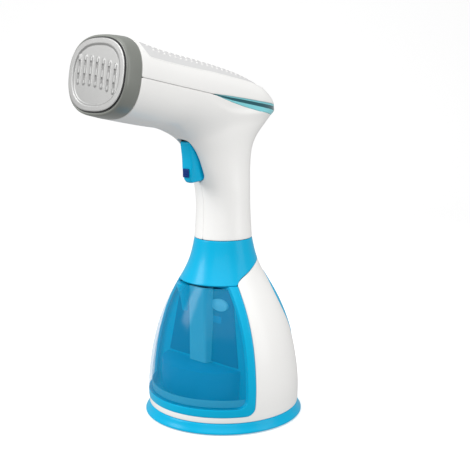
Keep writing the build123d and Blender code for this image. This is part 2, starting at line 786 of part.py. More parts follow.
ELEMENT_UP = 9.0
ELEMENT_DEPTH = BLOCK_BACK + 3.2
with BuildPart() as heating_element:
    add(
        pipe(
            (
                head_axis_point(44.0, -14.0, ELEMENT_UP),
                head_axis_point(ELEMENT_DEPTH, -14.0, ELEMENT_UP),
                head_axis_point(ELEMENT_DEPTH, 14.0, ELEMENT_UP),
                head_axis_point(44.0, 14.0, ELEMENT_UP),
            ),
            7.0,
            3.2,
        )
    )
finish(heating_element, "heating_element")

with BuildPart() as thermostat:
    add(rod(head_axis_point(BLOCK_BACK, 10.0, -10.0), head_axis_point(BLOCK_BACK + 8.0, 10.0, -10.0), 7.0))
    for offset in (-3.0, 3.0):
        add(
            rod(
                head_axis_point(BLOCK_BACK + 7.5, 10.0 + offset, -10.0),
                head_axis_point(BLOCK_BACK + 14.0, 10.0 + offset, -10.0),
                0.9,
            )
        )
finish(thermostat, "thermostat")

with BuildPart() as thermal_fuse:
    for reach, radius in ((7.0, 2.2), (10.0, 0.6)):
        start = head_axis_point(BLOCK_BACK + 2.3, -9.0 - reach, -10.0)
        end = head_axis_point(BLOCK_BACK + 2.3, -9.0 + reach, -10.0)
        add(rod(start, end, radius))
finish(thermal_fuse, "thermal_fuse")

# ---------------------------------------------------------------- trigger group
TRIGGER_WALL = 1.8
TRIGGER_OUTLINE = (
    (39.2, 207.6),
    (37.9, 196.0),
    (37.4, 184.0),
    (36.6, 178.6),
)
LOCK_Z = (180.0, 186.4)
LOCK_HALF_Y = 3.0
STEM_HALF_Y = 1.2
SLOT_GAP = 0.3

with BuildPart() as trigger:
    with BuildSketch(Plane.XZ) as side_view:
        with BuildLine():
            front = Spline(TRIGGER_OUTLINE)
            tip = TangentArc(front @ 1, (33.6, 176.4), tangent=front % 1)
            Polyline(tip @ 1, (25.0, 177.4), (21.5, 180.0), (21.5, 205.5), (27.0, 207.6), front @ 0)
        make_face()
    extrude(amount=TRIGGER_HALF_Y, both=True)
    add(
        side_prism(
            ((35.6, 204.8), (35.0, 196.0), (34.6, 180.0), (18.0, 180.0), (18.0, 210.0), (24.0, 210.0)),
            half=TRIGGER_HALF_Y - TRIGGER_WALL,
        ),
        mode=Mode.SUBTRACT,
    )
    add(rod((PIVOT_X, -10.0, PIVOT_Z), (PIVOT_X, 10.0, PIVOT_Z), PIN_RADIUS + 0.05), mode=Mode.SUBTRACT)
    add(
        block(
            (30.0, 45.0),
            (-STEM_HALF_Y - SLOT_GAP, STEM_HALF_Y + SLOT_GAP),
            (LOCK_Z[0] + 1.4, LOCK_Z[1] - 1.4 + LOCK_TRAVEL + 0.4),
        ),
        mode=Mode.SUBTRACT,
    )
    add(block((30.8, 32.0), (1.4, 2.6), (205.0, 208.5)), mode=Mode.SUBTRACT)
    add(block((19.4, 22.0), (-TRIGGER_HALF_Y, -TRIGGER_HALF_Y + TRIGGER_WALL), (181.0, 187.0)))
    add(block((19.4, 22.0), (TRIGGER_HALF_Y - TRIGGER_WALL, TRIGGER_HALF_Y), (181.0, 187.0)))
    add(block((17.6, 19.4), (-TRIGGER_HALF_Y, TRIGGER_HALF_Y), (181.0, 187.0)))
finish(trigger, "trigger")

with BuildPart() as trigger_lock:
    add(block((37.9, 39.0), (-LOCK_HALF_Y, LOCK_HALF_Y), LOCK_Z))
    fillet(trigger_lock.edges().filter_by(Axis.X), 0.8)
    add(block((32.6, 38.2), (-STEM_HALF_Y, STEM_HALF_Y), (LOCK_Z[0] + 1.8, LOCK_Z[1] - 1.8)))
    add(block((32.0, 34.2), (-2.6, 2.6), (LOCK_Z[0] + 1.2, LOCK_Z[1] - 1.2)))
finish(trigger_lock, "trigger_lock")

with BuildPart() as trigger_pin:
    add(rod((PIVOT_X, 0.1 - PIN_REACH, PIVOT_Z), (PIVOT_X, PIN_REACH - 0.1, PIVOT_Z), PIN_RADIUS))
finish(trigger_pin, "trigger_pin")

SPRING_RADIUS = 2.4
SPRING_WIRE = 0.3
with BuildPart() as trigger_spring:
    with BuildLine() as coil:
        Helix(pitch=0.8, height=4.0, radius=SPRING_RADIUS)
    with BuildSketch(Plane(origin=coil.line @ 0, z_dir=coil.line % 0)):
        Circle(SPRING_WIRE)
    sweep(path=coil.line)
    add(rod(coil.line @ 0, coil.line @ 0 + Vector(0, 12.0, 0), SPRING_WIRE))
    add(rod(coil.line @ 1, coil.line @ 1 + Vector(0, -9.0, 0), SPRING_WIRE))
trigger_spring.part = trigger_spring.part.moved(Location((PIVOT_X, 2.0, PIVOT_Z), (90, 0, 0)))
finish(trigger_spring, "trigger_spring")

with BuildPart() as microswitch:
    add(block((-2.0, 11.0), (-3.2, 3.2), (177.0, 190.0)))
    add(block((10.5, 13.2), (-1.5, 1.5), (182.6, 185.4)))
    for height in (179.0, 188.0):
        add(block((-5.0, -1.8), (-0.4, 0.4), (height - 1.0, height + 1.0)))
finish(microswitch, "microswitch")
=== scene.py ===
import math

import bpy
import numpy as np
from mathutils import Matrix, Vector


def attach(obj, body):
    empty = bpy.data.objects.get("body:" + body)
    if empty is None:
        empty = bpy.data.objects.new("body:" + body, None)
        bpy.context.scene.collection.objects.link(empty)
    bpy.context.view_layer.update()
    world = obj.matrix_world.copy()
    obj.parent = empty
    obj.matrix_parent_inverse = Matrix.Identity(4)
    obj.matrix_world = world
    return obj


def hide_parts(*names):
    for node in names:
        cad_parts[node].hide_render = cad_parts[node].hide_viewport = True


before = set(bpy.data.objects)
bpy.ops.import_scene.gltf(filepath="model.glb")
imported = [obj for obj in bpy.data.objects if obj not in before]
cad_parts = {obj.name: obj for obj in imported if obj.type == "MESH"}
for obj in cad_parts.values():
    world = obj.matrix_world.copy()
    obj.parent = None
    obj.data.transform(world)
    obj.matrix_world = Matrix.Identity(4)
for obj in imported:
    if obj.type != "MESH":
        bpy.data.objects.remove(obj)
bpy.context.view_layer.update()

bl_info = {
    "name": "Handheld garment steamer",
    "version": (1, 0, 0),
    "blender": (4, 5, 0),
    "location": "View3D > Sidebar > Steamer",
    "description": "Builds the detailed look of a handheld garment steamer round its packed parts",
    "category": "Add Mesh",
}

# Lengths are in millimetres until a mesh is made.
MM = 0.001

# The bell-shaped body: radius and height down its side.
BODY_PROFILE = (
    (57.0, 8.0), (57.4, 22.0), (55.8, 40.0), (49.0, 70.0), (37.9, 95.0), (26.9, 115.0), (21.6, 134.6),
)
SKIRT_Z = 8.0
NECK_SEAM_Z = 134.6
TANK_LOW_Z = 12.4
TANK_TOP_Z = 103.2
SEAM_LOW_X = 21.4
SEAM_TOP_X = 14.6
TANK_RIM = 5.6
CLEAR_LOW_Z = 18.4
PLUG_Y = 15.8
PLUG_Z = 87.5
COLLAR_EDGE = (
    (-18.0, 118.0), (-13.0, 117.2), (-8.0, 115.7), (-3.0, 113.7), (2.0, 111.5), (6.0, 109.8),
    (9.0, 108.4), (11.5, 106.9), (13.5, 105.2), (14.6, 103.2),
)
INSERT_Z = 72.0
INSERT_HALF = (37.0, 40.0)

# The head: depth behind its face, half width, height above and below its axis.
HEAD_TILT = math.radians(9.0)
FACE = (114.5, 254.4)
HEAD_POWER = 2.5
HEAD_SECTIONS = (
    (0, 30.7, 26.0, 26.3), (13, 29.6, 27.2, 27.2), (46, 27.0, 24.9, 28.0), (83, 25.0, 23.7, 26.0),
    (115, 22.6, 21.5, 20.0), (137, 20.2, 17.5, 12.0), (150, 16.6, 12.8, 7.0), (160, 11.2, 7.8, 4.0),
    (166, 4.5, 3.0, 2.6), (167.3, 0.0, 0.0, 0.0),
)
HEAD_END = 167.3
BEZEL_DEPTH = 13.0

# The neck: height, reach forward, reach back and half width.
NECK_SECTIONS = (
    (134.6, 21.6, 21.6, 21.6), (160, 20.3, 20.3, 20.3), (172, 22.0, 20.2, 20.2), (184, 26.4, 20.3, 20.0),
    (194, 30.6, 21.0, 20.2), (202, 35.6, 22.8, 20.7), (210, 43.0, 28.6, 21.4), (218, 49.5, 38.5, 22.0),
    (226, 54.0, 49.0, 22.0),
)
NECK_BLEND = (7.0, 17.0)
BLEND_X = (14.0, 52.0)
SEAM_TIP = (31.4, 240.8)
SEAM_SLOPE = math.tan(math.radians(9.9))
# The wedge-shaped strip: place along the head, and reach above or below the side seam.
ACCENT_ABOVE = ((-60.0, 5.0), (-41.0, 4.0), (-17.5, 2.8), (0.0, 2.1), (14.0, 1.4), (31.4, 0.25))
ACCENT_BELOW = ((-60.0, 4.5), (-17.5, 4.2), (0.0, 3.6), (14.0, 2.5), (22.7, 1.4), (31.4, 0.25))
GROOVE_ABOVE = ((-60.0, 3.2), (-41.0, 2.6), (-17.5, 1.6), (0.0, 1.15), (14.0, 0.6), (31.4, 0.1))
GROOVE_BELOW = (
    (-60.0, 0.3), (-41.0, 0.5), (-17.5, 0.9), (0.0, 1.2), (14.0, 1.3), (22.7, 1.0), (31.4, 0.15),
)
STRIP_CENTRE = -12.0
STRIP_START = 29.6
# The vent panel on top of the head: depth and half width.
PANEL_HALF_WIDTH = (
    (12, 26.6), (17, 26.3), (41, 24.3), (66, 22.7), (90, 21.0), (107, 19.6), (127, 17.1), (146, 12.6),
    (156, 8.0),
)
PANEL_DEPTH = (16.6, 147.0)
PANEL_DROP = 0.8

# The steam plate in the head's face.
PLATE_HALF = (29.2, 24.0)
PLATE_FRONT = -1.2
PLATE_SCALE = 25.0
RIB_PITCH = 6.3
RIB_STEPS = range(-3, 4)
RIB_SIZE = (3.2, 20.0)
RIB_HEIGHT = 0.6
HOLE_SIZE = (1.8, 4.3)
HOLE_OFFSET = 4.3

# The trigger and its lock button.
TRIGGER_OUTLINE = (
    (38.9, 207.6), (38.1, 202.0), (37.2, 196.0), (36.95, 190.0), (36.9, 184.0), (36.7, 181.8),
    (36.5, 180.1), (35.6, 178.6), (34.6, 177.9), (33.4, 177.7), (29.0, 178.1), (25.0, 178.5),
    (22.8, 179.3), (21.5, 180.8), (21.5, 205.5), (24.0, 206.6), (27.0, 207.6), (33.0, 207.8),
)
TRIGGER_SIDE = (
    (-4.9, 1.3), (-5.15, 0.95), (-4.95, 0.6), (-4.6, 0.28), (-4.1, 0.08), (-3.2, 0.0), (-1.6, -0.06),
    (0.0, -0.1),
)
OPENING = (5.4, 178.0, 209.0)
TRIGGER_TAPER = ((176.0, 0.45), (178.5, 0.58), (181.5, 0.76), (185.0, 0.91), (189.0, 1.0), (208.0, 1.0))
LOCK_BOX = ((37.25, 38.25), (-2.7, 2.9), (182.0, 188.2))

# What shows through the tank. The shade sheet is a thin deep blue sheet, painted shade for the dark cavity
# behind the tank; the column stands in front of it, the funnel hangs from the top, and the shelf is the
# raised floor.
SHADE_SHEET_Z = (44.0, 101.0)
SHADE_SHEET_FORWARD = 2.65
SHADE_SHEET_HALF = 29.5
COLUMN_OUTER = ((20.0, 9.2), (26.4, 9.0), (27.6, 8.2), (28.1, 6.8), (27.7, 5.6))
COLUMN_INNER = ((20.0, -4.4), (25.0, -4.4), (25.0, 4.4), (20.0, 4.4))
COLUMN_LEVELS = ((43.4, 0.6), (43.8, 0.0), (70.0, 0.0), (96.4, 0.0), (97.0, 0.6), (100.6, 2.4))
FUNNEL = ((0.2, 80.0), (2.0, 80.2), (2.4, 82.0), (3.4, 90.0), (6.0, 98.0), (6.4, 101.0), (0.2, 101.0))
FUNNEL_CENTRE = (27.5, -13.0)
SHELF_HALF = (
    (19.5, 39.0), (24.0, 38.6), (31.0, 35.0), (37.5, 29.0), (42.5, 21.0), (45.8, 11.0), (47.0, 0.0),
)
SHELF_LEVELS = ((20.4, 0.3), (20.8, 0.0), (41.6, 0.0), (42.2, 0.2), (42.5, 0.7))

# The lamps: name, reach left, towards the camera and up in metres, width and height, and power.
LAMPS = (
    ("key", 1.0, 0.25, 0.62, (0.4, 0.7), 9.0),
    ("front", 0.1, 1.2, 0.95, (1.6, 1.2), 10.0),
    ("fill", -0.9, 0.4, 0.35, (0.5, 1.0), 3.5),
    ("top", 0.0, 0.0, 1.1, (0.9, 0.9), 3.0),
)
LAMP_TARGET = (0.02, 0.0, 0.14)
CAMERA_PLACE = (0.48083, 0.48083, 0.2565)
CAMERA_WAY = (-0.7052, -0.6870, -0.1754)
CAMERA_LENS = 70.3


# ---------------------------------------------------------------- shapes


def spline(rows, column):
    """A smooth curve through the rows' first value and one other column."""
    x = np.array([row[0] for row in rows], float)
    y = np.array([row[column] for row in rows], float)
    return natural(x, y)


def natural(x, y):
    """A natural cubic curve through points, held at its ends."""
    gap = np.diff(x)
    size = len(x)
    system = np.eye(size)
    right = np.zeros(size)
    for i in range(1, size - 1):
        system[i, i - 1] = gap[i - 1]
        system[i, i] = 2 * (gap[i - 1] + gap[i])
        system[i, i + 1] = gap[i]
        right[i] = 6 * ((y[i + 1] - y[i]) / gap[i] - (y[i] - y[i - 1]) / gap[i - 1])
    bend = np.linalg.solve(system, right)

    def value(at):
        at = np.clip(at, x[0], x[-1])
        i = np.clip(np.searchsorted(x, at) - 1, 0, size - 2)
        a = x[i + 1] - at
        b = at - x[i]
        h = gap[i]
        cubic = (bend[i] * a**3 + bend[i + 1] * b**3) / (6 * h)
        return cubic + (y[i] / h - bend[i] * h / 6) * a + (y[i + 1] / h - bend[i + 1] * h / 6) * b

    return value


def eased(x, y):
    """A curve through points that never overshoots them."""
    x = np.array(x, float)
    y = np.array(y, float)
    gap = np.diff(x)
    slope = np.diff(y) / gap
    tangent = np.concatenate(([slope[0]], np.zeros(len(x) - 2), [slope[-1]]))
    for i in range(1, len(x) - 1):
        if slope[i - 1] * slope[i] > 0:
            near = 2 * gap[i] + gap[i - 1]
            far = gap[i] + 2 * gap[i - 1]
            tangent[i] = (near + far) / (near / slope[i - 1] + far / slope[i])

    def value(at):
        at = np.clip(at, x[0], x[-1])
        i = np.clip(np.searchsorted(x, at) - 1, 0, len(x) - 2)
        t = (at - x[i]) / gap[i]
        rise = y[i + 1] - y[i]
        first = tangent[i] * gap[i]
        last = tangent[i + 1] * gap[i]
        return y[i] + first * t + (3 * rise - 2 * first - last) * t**2 + (first + last - 2 * rise) * t**3

    return value


def bell_radius_curve():
    """The body's radius at a height."""
    return natural(np.array([z for _, z in BODY_PROFILE]), np.array([r for r, _ in BODY_PROFILE]))


bell_radius = bell_radius_curve()
squared = [[row[0]] + [v * v for v in row[1:]] for row in HEAD_SECTIONS]
head_columns = [eased([r[0] for r in squared], [r[k] for r in squared]) for k in (1, 2, 3)]
neck_columns = [spline(NECK_SECTIONS, k) for k in (1, 2, 3)]
panel_half_width = spline(PANEL_HALF_WIDTH, 1)


def head_frame(points):
    """Depth behind the face, distance sideways and height above the head's axis."""
    x = points[..., 0] - FACE[0]
    z = points[..., 2] - FACE[1]
    depth = -(x * math.cos(HEAD_TILT) + z * math.sin(HEAD_TILT))
    return depth, points[..., 1], z * math.cos(HEAD_TILT) - x * math.sin(HEAD_TILT)


def head_point(depth, side, up):
    """The point at a depth behind the face, and sideways and up from the head's axis."""
    x = FACE[0] - depth * math.cos(HEAD_TILT) - up * math.sin(HEAD_TILT)
    z = FACE[1] - depth * math.sin(HEAD_TILT) + up * math.cos(HEAD_TILT)
    return np.stack(np.broadcast_arrays(x, side, z), -1).astype(float)


def head_field(points):
    """Roughly the distance outside the head."""
    depth, side, up = head_frame(points)
    wide = np.maximum(head_columns[0](depth), 0.01)
    tall = np.maximum(np.where(up > 0, head_columns[1](depth), head_columns[2](depth)), 0.01)
    reach = np.maximum(side * side + up * up, 1e-9)
    ratio = (side * side / wide) ** (HEAD_POWER / 2) + (up * up / tall) ** (HEAD_POWER / 2)
    edge = reach / np.maximum(ratio, 1e-12) ** (2 / HEAD_POWER)
    edge = np.where(depth > HEAD_END, -15.0 * (depth - HEAD_END), edge)
    return (reach - edge) / (2 * np.sqrt(np.maximum(edge, 36.0)))


def neck_field(points):
    """Roughly the distance outside the neck."""
    x, y, z = points[..., 0], points[..., 1], points[..., 2]
    front, back, half = (column(z) for column in neck_columns)
    ratio = np.maximum(np.hypot(x / np.where(x > 0, front, back), y / half), 1e-6)
    return np.maximum(np.hypot(x, y) * (1 - 1 / ratio), z - 226.0)


def handle_field(points):
    """The head and the neck, blended where they meet."""
    a = head_field(points)
    b = neck_field(points)
    reach = np.interp(points[..., 0], BLEND_X, NECK_BLEND)
    mix = np.clip(0.5 + 0.5 * (b - a) / reach, 0, 1)
    return b * (1 - mix) + a * mix - reach * mix * (1 - mix)


def slope_of(field, points, reach=0.05):
    """Which way a field grows fastest at each point."""
    steps = []
    for axis in range(3):
        move = np.zeros(3)
        move[axis] = reach
        steps.append((field(points + move) - field(points - move)) / (2 * reach))
    return np.stack(steps, -1)


def unit(vectors):
    """The same vectors, one unit long."""
    return vectors / np.maximum(np.linalg.norm(vectors, axis=-1, keepdims=True), 1e-12)


def corner(a, b, radius):
    """Where both a and b are below zero, with the corner between them rounded."""
    inside = np.minimum(np.maximum(a, b) + radius, 0.0)
    return inside + np.hypot(np.maximum(a + radius, 0), np.maximum(b + radius, 0)) - radius


class Skin:
    """A fine open surface that the moulded pieces are cut from."""

    def __init__(self, points, faces, settle, normal, step):
        self.points = points
        self.faces = faces
        self.settle = settle
        self.normal = normal
        self.step = step


def bell_skin():
    """The body's outer surface, as a ring of fine squares."""
    turns = 160
    heights = np.linspace(SKIRT_Z - 1.0, NECK_SEAM_Z + 1.0, 88)
    angles = np.arange(turns) * 2 * math.pi / turns + 0.013

    def settle(points):
        out = points.copy()
        radius = np.hypot(points[:, 0], points[:, 1])
        scale = bell_radius(points[:, 2]) / np.maximum(radius, 1e-9)
        out[:, :2] *= scale[:, None]
        return out

    def normal(points):
        lean = (bell_radius(points[:, 2] + 0.1) - bell_radius(points[:, 2] - 0.1)) / 0.2
        radius = np.hypot(points[:, 0], points[:, 1])
        flat = np.column_stack([points[:, 0] / radius, points[:, 1] / radius, -lean])
        return unit(flat)

    radius = bell_radius(heights)
    points = np.stack(
        [
            np.outer(radius, np.cos(angles)),
            np.outer(radius, np.sin(angles)),
            np.repeat(heights[:, None], turns, 1),
        ],
        -1,
    ).reshape(-1, 3)
    row, turn = np.meshgrid(np.arange(len(heights) - 1), np.arange(turns), indexing="ij")
    after = (turn + 1) % turns
    low = row * turns
    high = low + turns
    quads = [low + turn, low + after, high + after, high + turn]
    return Skin(points, np.stack(quads, -1).reshape(-1, 4), settle, normal, 1.5)


def handle_skin():
    """The head and neck's outer surface, found where the field is zero."""
    step = 1.5
    axes = [np.arange(-60, 117, step), np.arange(-34.5, 35, step), np.arange(133, 288, step)]
    grid = np.stack(np.meshgrid(*axes, indexing="ij"), -1)
    value = handle_field(grid)
    inside = value < 0
    count = sum(
        inside[i : i - 1 or None, j : j - 1 or None, k : k - 1 or None].astype(int)
        for i in (0, 1)
        for j in (0, 1)
        for k in (0, 1)
    )
    mixed = (count > 0) & (count < 8)
    index = np.full(mixed.shape, -1)
    index[mixed] = np.arange(mixed.sum())
    total = np.zeros((mixed.sum(), 3))
    hits = np.zeros(mixed.sum())
    faces = []
    for axis in range(3):
        b = (axis + 1) % 3
        c = (axis + 2) % 3
        low = [slice(None)] * 3
        high = [slice(None)] * 3
        low[axis] = slice(0, -1)
        high[axis] = slice(1, None)
        first = value[tuple(low)]
        last = value[tuple(high)]
        crossing = np.argwhere((first < 0) != (last < 0))
        keep = np.ones(len(crossing), bool)
        for other in (b, c):
            keep &= (crossing[:, other] > 0) & (crossing[:, other] < mixed.shape[other])
        crossing = crossing[keep]
        at = tuple(crossing.T)
        share = first[at] / (first[at] - last[at])
        point = grid[at].copy()
        point[:, axis] += share * step
        around = []
        for move_b, move_c in ((-1, -1), (0, -1), (0, 0), (-1, 0)):
            cell = crossing.copy()
            cell[:, b] += move_b
            cell[:, c] += move_c
            found = index[tuple(cell.T)]
            np.add.at(total, found, point)
            np.add.at(hits, found, 1)
            around.append(found)
        quad = np.stack(around, -1)
        outward = first[at] < 0
        quad[~outward] = quad[~outward][:, ::-1]
        faces.append(quad)

    def settle(points):
        for _ in range(4):
            slope = slope_of(handle_field, points)
            size = np.maximum((slope**2).sum(-1), 0.05)
            points = points - (handle_field(points) / size)[:, None] * slope
        return points

    def normal(points):
        return unit(slope_of(handle_field, points))

    points = settle(total / hits[:, None])
    return Skin(points, np.concatenate(faces), settle, normal, step)


def plate_reach(side, up):
    """The share of the way from the steam plate's middle to its edge."""
    wide = np.abs(side / PLATE_HALF[0]) ** HEAD_POWER
    tall = np.abs(up / PLATE_HALF[1]) ** HEAD_POWER
    return (wide + tall) ** (1 / HEAD_POWER)


def plate_height(side, up):
    """How far the steam plate's front stands out at a place on it."""
    rim = (1 - plate_reach(side, up)) * PLATE_SCALE
    ramp = np.clip((rim - 4.2) / 1.1, 0, 1)
    height = -0.9 * ramp * ramp * (3 - 2 * ramp)
    height += -0.22 * np.exp(-((rim - 4.6) ** 2) / 0.25)
    height += -0.5 * np.clip(1 - rim / 1.0, 0, 1) ** 2
    for i in RIB_STEPS:
        centre = i * RIB_PITCH
        middle = rib_middle(centre)
        along = np.maximum(np.abs(up - middle) - (RIB_SIZE[1] - RIB_SIZE[0]) / 2, 0)
        off = np.hypot(side - centre, along) / (RIB_SIZE[0] / 2)
        dome = np.clip(1 - off * off, 0, 1)
        height += RIB_HEIGHT * dome * dome * (3 - 2 * dome)
    return height


def rib_middle(side):
    """The height of a rib's middle, which follows the plate's slant."""
    return 1.7 - 0.16 * side - 0.0038 * side * side


def plate_skin():
    """The steam plate's front, as a fine sheet with its ribs raised."""
    step = 0.36
    side = np.arange(-30.5, 30.6, step)
    up = np.arange(-25.5, 25.6, step)

    def settle(points):
        _, s, u = head_frame(points)
        return head_point(PLATE_FRONT - plate_height(s, u), s, u)

    def normal(points):
        _, s, u = head_frame(points)
        lean_s = (plate_height(s + 0.12, u) - plate_height(s - 0.12, u)) / 0.24
        lean_u = (plate_height(s, u + 0.12) - plate_height(s, u - 0.12)) / 0.24
        axes = head_point(0.0, 0.0, 0.0)
        forward = head_point(-1.0, 0.0, 0.0) - axes
        left = head_point(0.0, 1.0, 0.0) - axes
        above = head_point(0.0, 0.0, 1.0) - axes
        out = forward - lean_s[:, None] * left - lean_u[:, None] * above
        return unit(out)

    s, u = np.meshgrid(side, up, indexing="ij")
    points = settle(head_point(0.0, s.ravel(), u.ravel()))
    i, j = np.meshgrid(np.arange(len(side) - 1), np.arange(len(up) - 1), indexing="ij")
    row = len(up)
    quads = [i * row + j, (i + 1) * row + j, (i + 1) * row + j + 1, i * row + j + 1]
    return Skin(points, np.stack(quads, -1).reshape(-1, 4), settle, normal, step)


def cut(skin, region):
    """The part of a skin where the region is below zero, with a clean edge."""
    points = skin.points.copy()
    value = region(points)
    near = np.abs(value) < 0.3 * skin.step
    moved = points[near]
    for _ in range(4):
        slope = slope_of(region, moved)
        out = skin.normal(moved)
        slope = slope - (slope * out).sum(-1, keepdims=True) * out
        size = np.maximum((slope**2).sum(-1), 0.05)
        moved = skin.settle(moved - (region(moved) / size)[:, None] * slope)
    good = np.abs(region(moved)) < 0.02
    good &= np.linalg.norm(moved - points[near], axis=-1) < 0.6 * skin.step
    places = np.flatnonzero(near)[good]
    points[places] = moved[good]
    value[places] = 0.0
    side = value[skin.faces]
    whole = skin.faces[(side <= 0).all(-1) & (side < 0).any(-1)]
    mixed = skin.faces[(side < 0).any(-1) & (side > 0).any(-1)]
    pairs = {}
    for face in mixed.tolist():
        for a, b in zip(face, face[1:] + face[:1]):
            if value[a] * value[b] < 0:
                pairs.setdefault((min(a, b), max(a, b)), len(pairs))
    extra = np.zeros((0, 3))
    if pairs:
        ends = np.array(list(pairs))
        low = np.zeros(len(ends))
        high = np.ones(len(ends))
        start = points[ends[:, 0]]
        stop = points[ends[:, 1]]
        sign = np.sign(value[ends[:, 0]])
        for _ in range(14):
            middle = (low + high) / 2
            extra = skin.settle(start + (stop - start) * middle[:, None])
            same = np.sign(region(extra)) == sign
            low = np.where(same, middle, low)
            high = np.where(same, high, middle)
    faces = whole.tolist()
    for face in mixed.tolist():
        kept = []
        for a, b in zip(face, face[1:] + face[:1]):
            if value[a] <= 0:
                kept.append(a)
            if value[a] * value[b] < 0:
                kept.append(len(points) + pairs[(min(a, b), max(a, b))])
        if len(kept) > 2:
            faces.append(kept)
    used = sorted({v for face in faces for v in face})
    number = {v: i for i, v in enumerate(used)}
    every = np.concatenate([points, extra])
    return every[used], [[number[v] for v in face] for face in faces]


def thicken(skin, points, faces, wall, edge=0.35, lift=0.0):
    """A closed moulding from an open surface, with its edges rounded over."""
    normal = skin.normal(points)
    directed = {}
    for face in faces:
        for a, b in zip(face, face[1:] + face[:1]):
            directed[(a, b)] = True
    rim = [(a, b) for a, b in directed if (b, a) not in directed]
    out = np.zeros_like(points)
    for a, b in rim:
        way = np.cross(points[b] - points[a], normal[a] + normal[b])
        size = np.linalg.norm(way)
        if size > 1e-9:
            out[a] += way / size
            out[b] += way / size
    out = unit(out - (out * normal).sum(-1, keepdims=True) * normal)
    edge_points = sorted({v for pair in rim for v in pair})
    slot = {v: i for i, v in enumerate(edge_points)}
    at = points[edge_points]
    away = out[edge_points]
    up = normal[edge_points]
    rings = []
    for turn in (30, 60, 90):
        sine = math.sin(math.radians(turn))
        cosine = math.cos(math.radians(turn))
        rings.append(at + away * edge * sine + up * (lift - edge * (1 - cosine)))
    rings.append(at + away * edge + up * (lift - wall))
    size = len(points)
    step = len(edge_points)
    blocks = [points + normal * lift, points + normal * (lift - wall)] + rings
    every = np.concatenate(blocks)
    shapes = [list(face) for face in faces]
    shapes += [[size + v for v in reversed(face)] for face in faces]
    for a, b in rim:
        i = slot[a]
        j = slot[b]
        levels_a = [a] + [2 * size + k * step + i for k in range(4)] + [size + a]
        levels_b = [b] + [2 * size + k * step + j for k in range(4)] + [size + b]
        for k in range(5):
            shapes.append([levels_b[k], levels_a[k], levels_a[k + 1], levels_b[k + 1]])
    return every, shapes


def sweep(rings, closed=True):
    """Faces joining rings of points with the same count, one after another."""
    rings = [np.asarray(ring, float) for ring in rings]
    count = len(rings[0])
    faces = []
    last = len(rings) if closed else len(rings) - 1
    for r in range(last):
        s = (r + 1) % len(rings)
        for i in range(count):
            j = (i + 1) % count
            faces.append([r * count + i, r * count + j, s * count + j, s * count + i])
    if not closed:
        faces.append(list(reversed(range(count))))
        faces.append([(len(rings) - 1) * count + i for i in range(count)])
    return np.concatenate(rings), faces


def lathe(profile, turns=160, centre=(0.0, 0.0)):
    """A ring with a closed profile of radius and height, turned about an upright line."""
    angles = np.arange(turns) * 2 * math.pi / turns
    rings = []
    for radius, height in profile:
        x = centre[0] + radius * np.cos(angles)
        y = centre[1] + radius * np.sin(angles)
        rings.append(np.column_stack([x, y, np.full(turns, height)]))
    return sweep(rings)


def face_ring(depth, half, up, down, turns=160, power=HEAD_POWER):
    """A rounded outline round the head's axis."""
    angles = np.arange(turns) * 2 * math.pi / turns
    c, s = np.cos(angles), np.sin(angles)
    side = half * np.sign(c) * np.abs(c) ** (2 / power)
    height = np.where(s > 0, up, down) * np.sign(s) * np.abs(s) ** (2 / power)
    return head_point(depth, side, height)


def head_ring(depth, inset):
    """The head's outline at a depth, drawn in by an inset."""
    half, up, down = (math.sqrt(float(column(depth))) for column in head_columns)
    return face_ring(depth, half - inset, up - inset, down - inset)


def head_top(depth, side):
    """The height of the head's top above its axis, at a depth and a distance sideways."""
    wide = np.sqrt(head_columns[0](depth))
    share = np.clip(1 - (np.abs(side) / wide) ** HEAD_POWER, 0.0, 1.0)
    return np.sqrt(head_columns[1](depth)) * share ** (1 / HEAD_POWER)


def strip(skin, low_rows, high_rows, across, turns=121):
    """A long thin piece that follows the head's side seam round its back.

    Each step across is the share of the way up the strip and how far it stands out.
    """
    angles = np.radians(np.linspace(STRIP_START, 360 - STRIP_START, turns))

    def surface(rise):
        near = np.full(turns, 1.0)
        far = np.full(turns, 62.0)
        for _ in range(26):
            reach = (near + far) / 2
            x = STRIP_CENTRE + reach * np.cos(angles)
            z = SEAM_TIP[1] + SEAM_SLOPE * (x - SEAM_TIP[0]) + rise
            point = np.column_stack([x, reach * np.sin(angles), z])
            inside = handle_field(point) < 0
            near = np.where(inside, reach, near)
            far = np.where(inside, far, reach)
        return point

    middle = surface(0.0)
    low = row_at(low_rows, middle)
    high = row_at(high_rows, middle)
    columns = []
    for share, stand in across:
        point = surface(low + (high - low) * share)
        columns.append(point + skin.normal(point) * stand)
    return oriented(*sweep(np.stack(columns, 1), closed=False))


def ribbon(skin, path, profile):
    """A bead with a closed profile that follows a closed path on a skin."""
    path = skin.settle(path)
    normal = skin.normal(path)
    along = unit(np.roll(path, -1, 0) - np.roll(path, 1, 0))
    side = unit(np.cross(normal, along))
    rings = [path + side * a + normal * b for a, b in profile]
    return oriented(*sweep(rings))


def build(name, points, faces, body, nodes, paint, angle=38.0):
    """Makes one piece: its mesh, its shading, what it rides on and what it stands for."""
    mesh = bpy.data.meshes.new(name)
    mesh.from_pydata((np.asarray(points) * MM).tolist(), [], faces)
    mesh.validate()
    mesh.shade_smooth()
    mesh.set_sharp_from_angle(angle=math.radians(angle))
    piece = bpy.data.objects.new(name, mesh)
    bpy.context.scene.collection.objects.link(piece)
    if len(mesh.polygons) == 0:
        raise RuntimeError(f"{name} has no faces")
    mesh.materials.append(paint)
    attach(piece, body)
    if nodes:
        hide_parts(*nodes)
    return piece


def join(parts):
    """Several meshes as one list of points and faces."""
    points = []
    faces = []
    count = 0
    for some, shapes in parts:
        points.append(np.asarray(some, float))
        faces += [[count + v for v in shape] for shape in shapes]
        count += len(some)
    return np.concatenate(points), faces


def moulding(skin, region, wall, edge=0.35, lift=0.0):
    """A piece cut from a skin and given its thickness."""
    points, faces = cut(skin, lambda at: region(at) + edge)
    return thicken(skin, points, faces, wall, edge, lift)


# ---------------------------------------------------------------- outlines


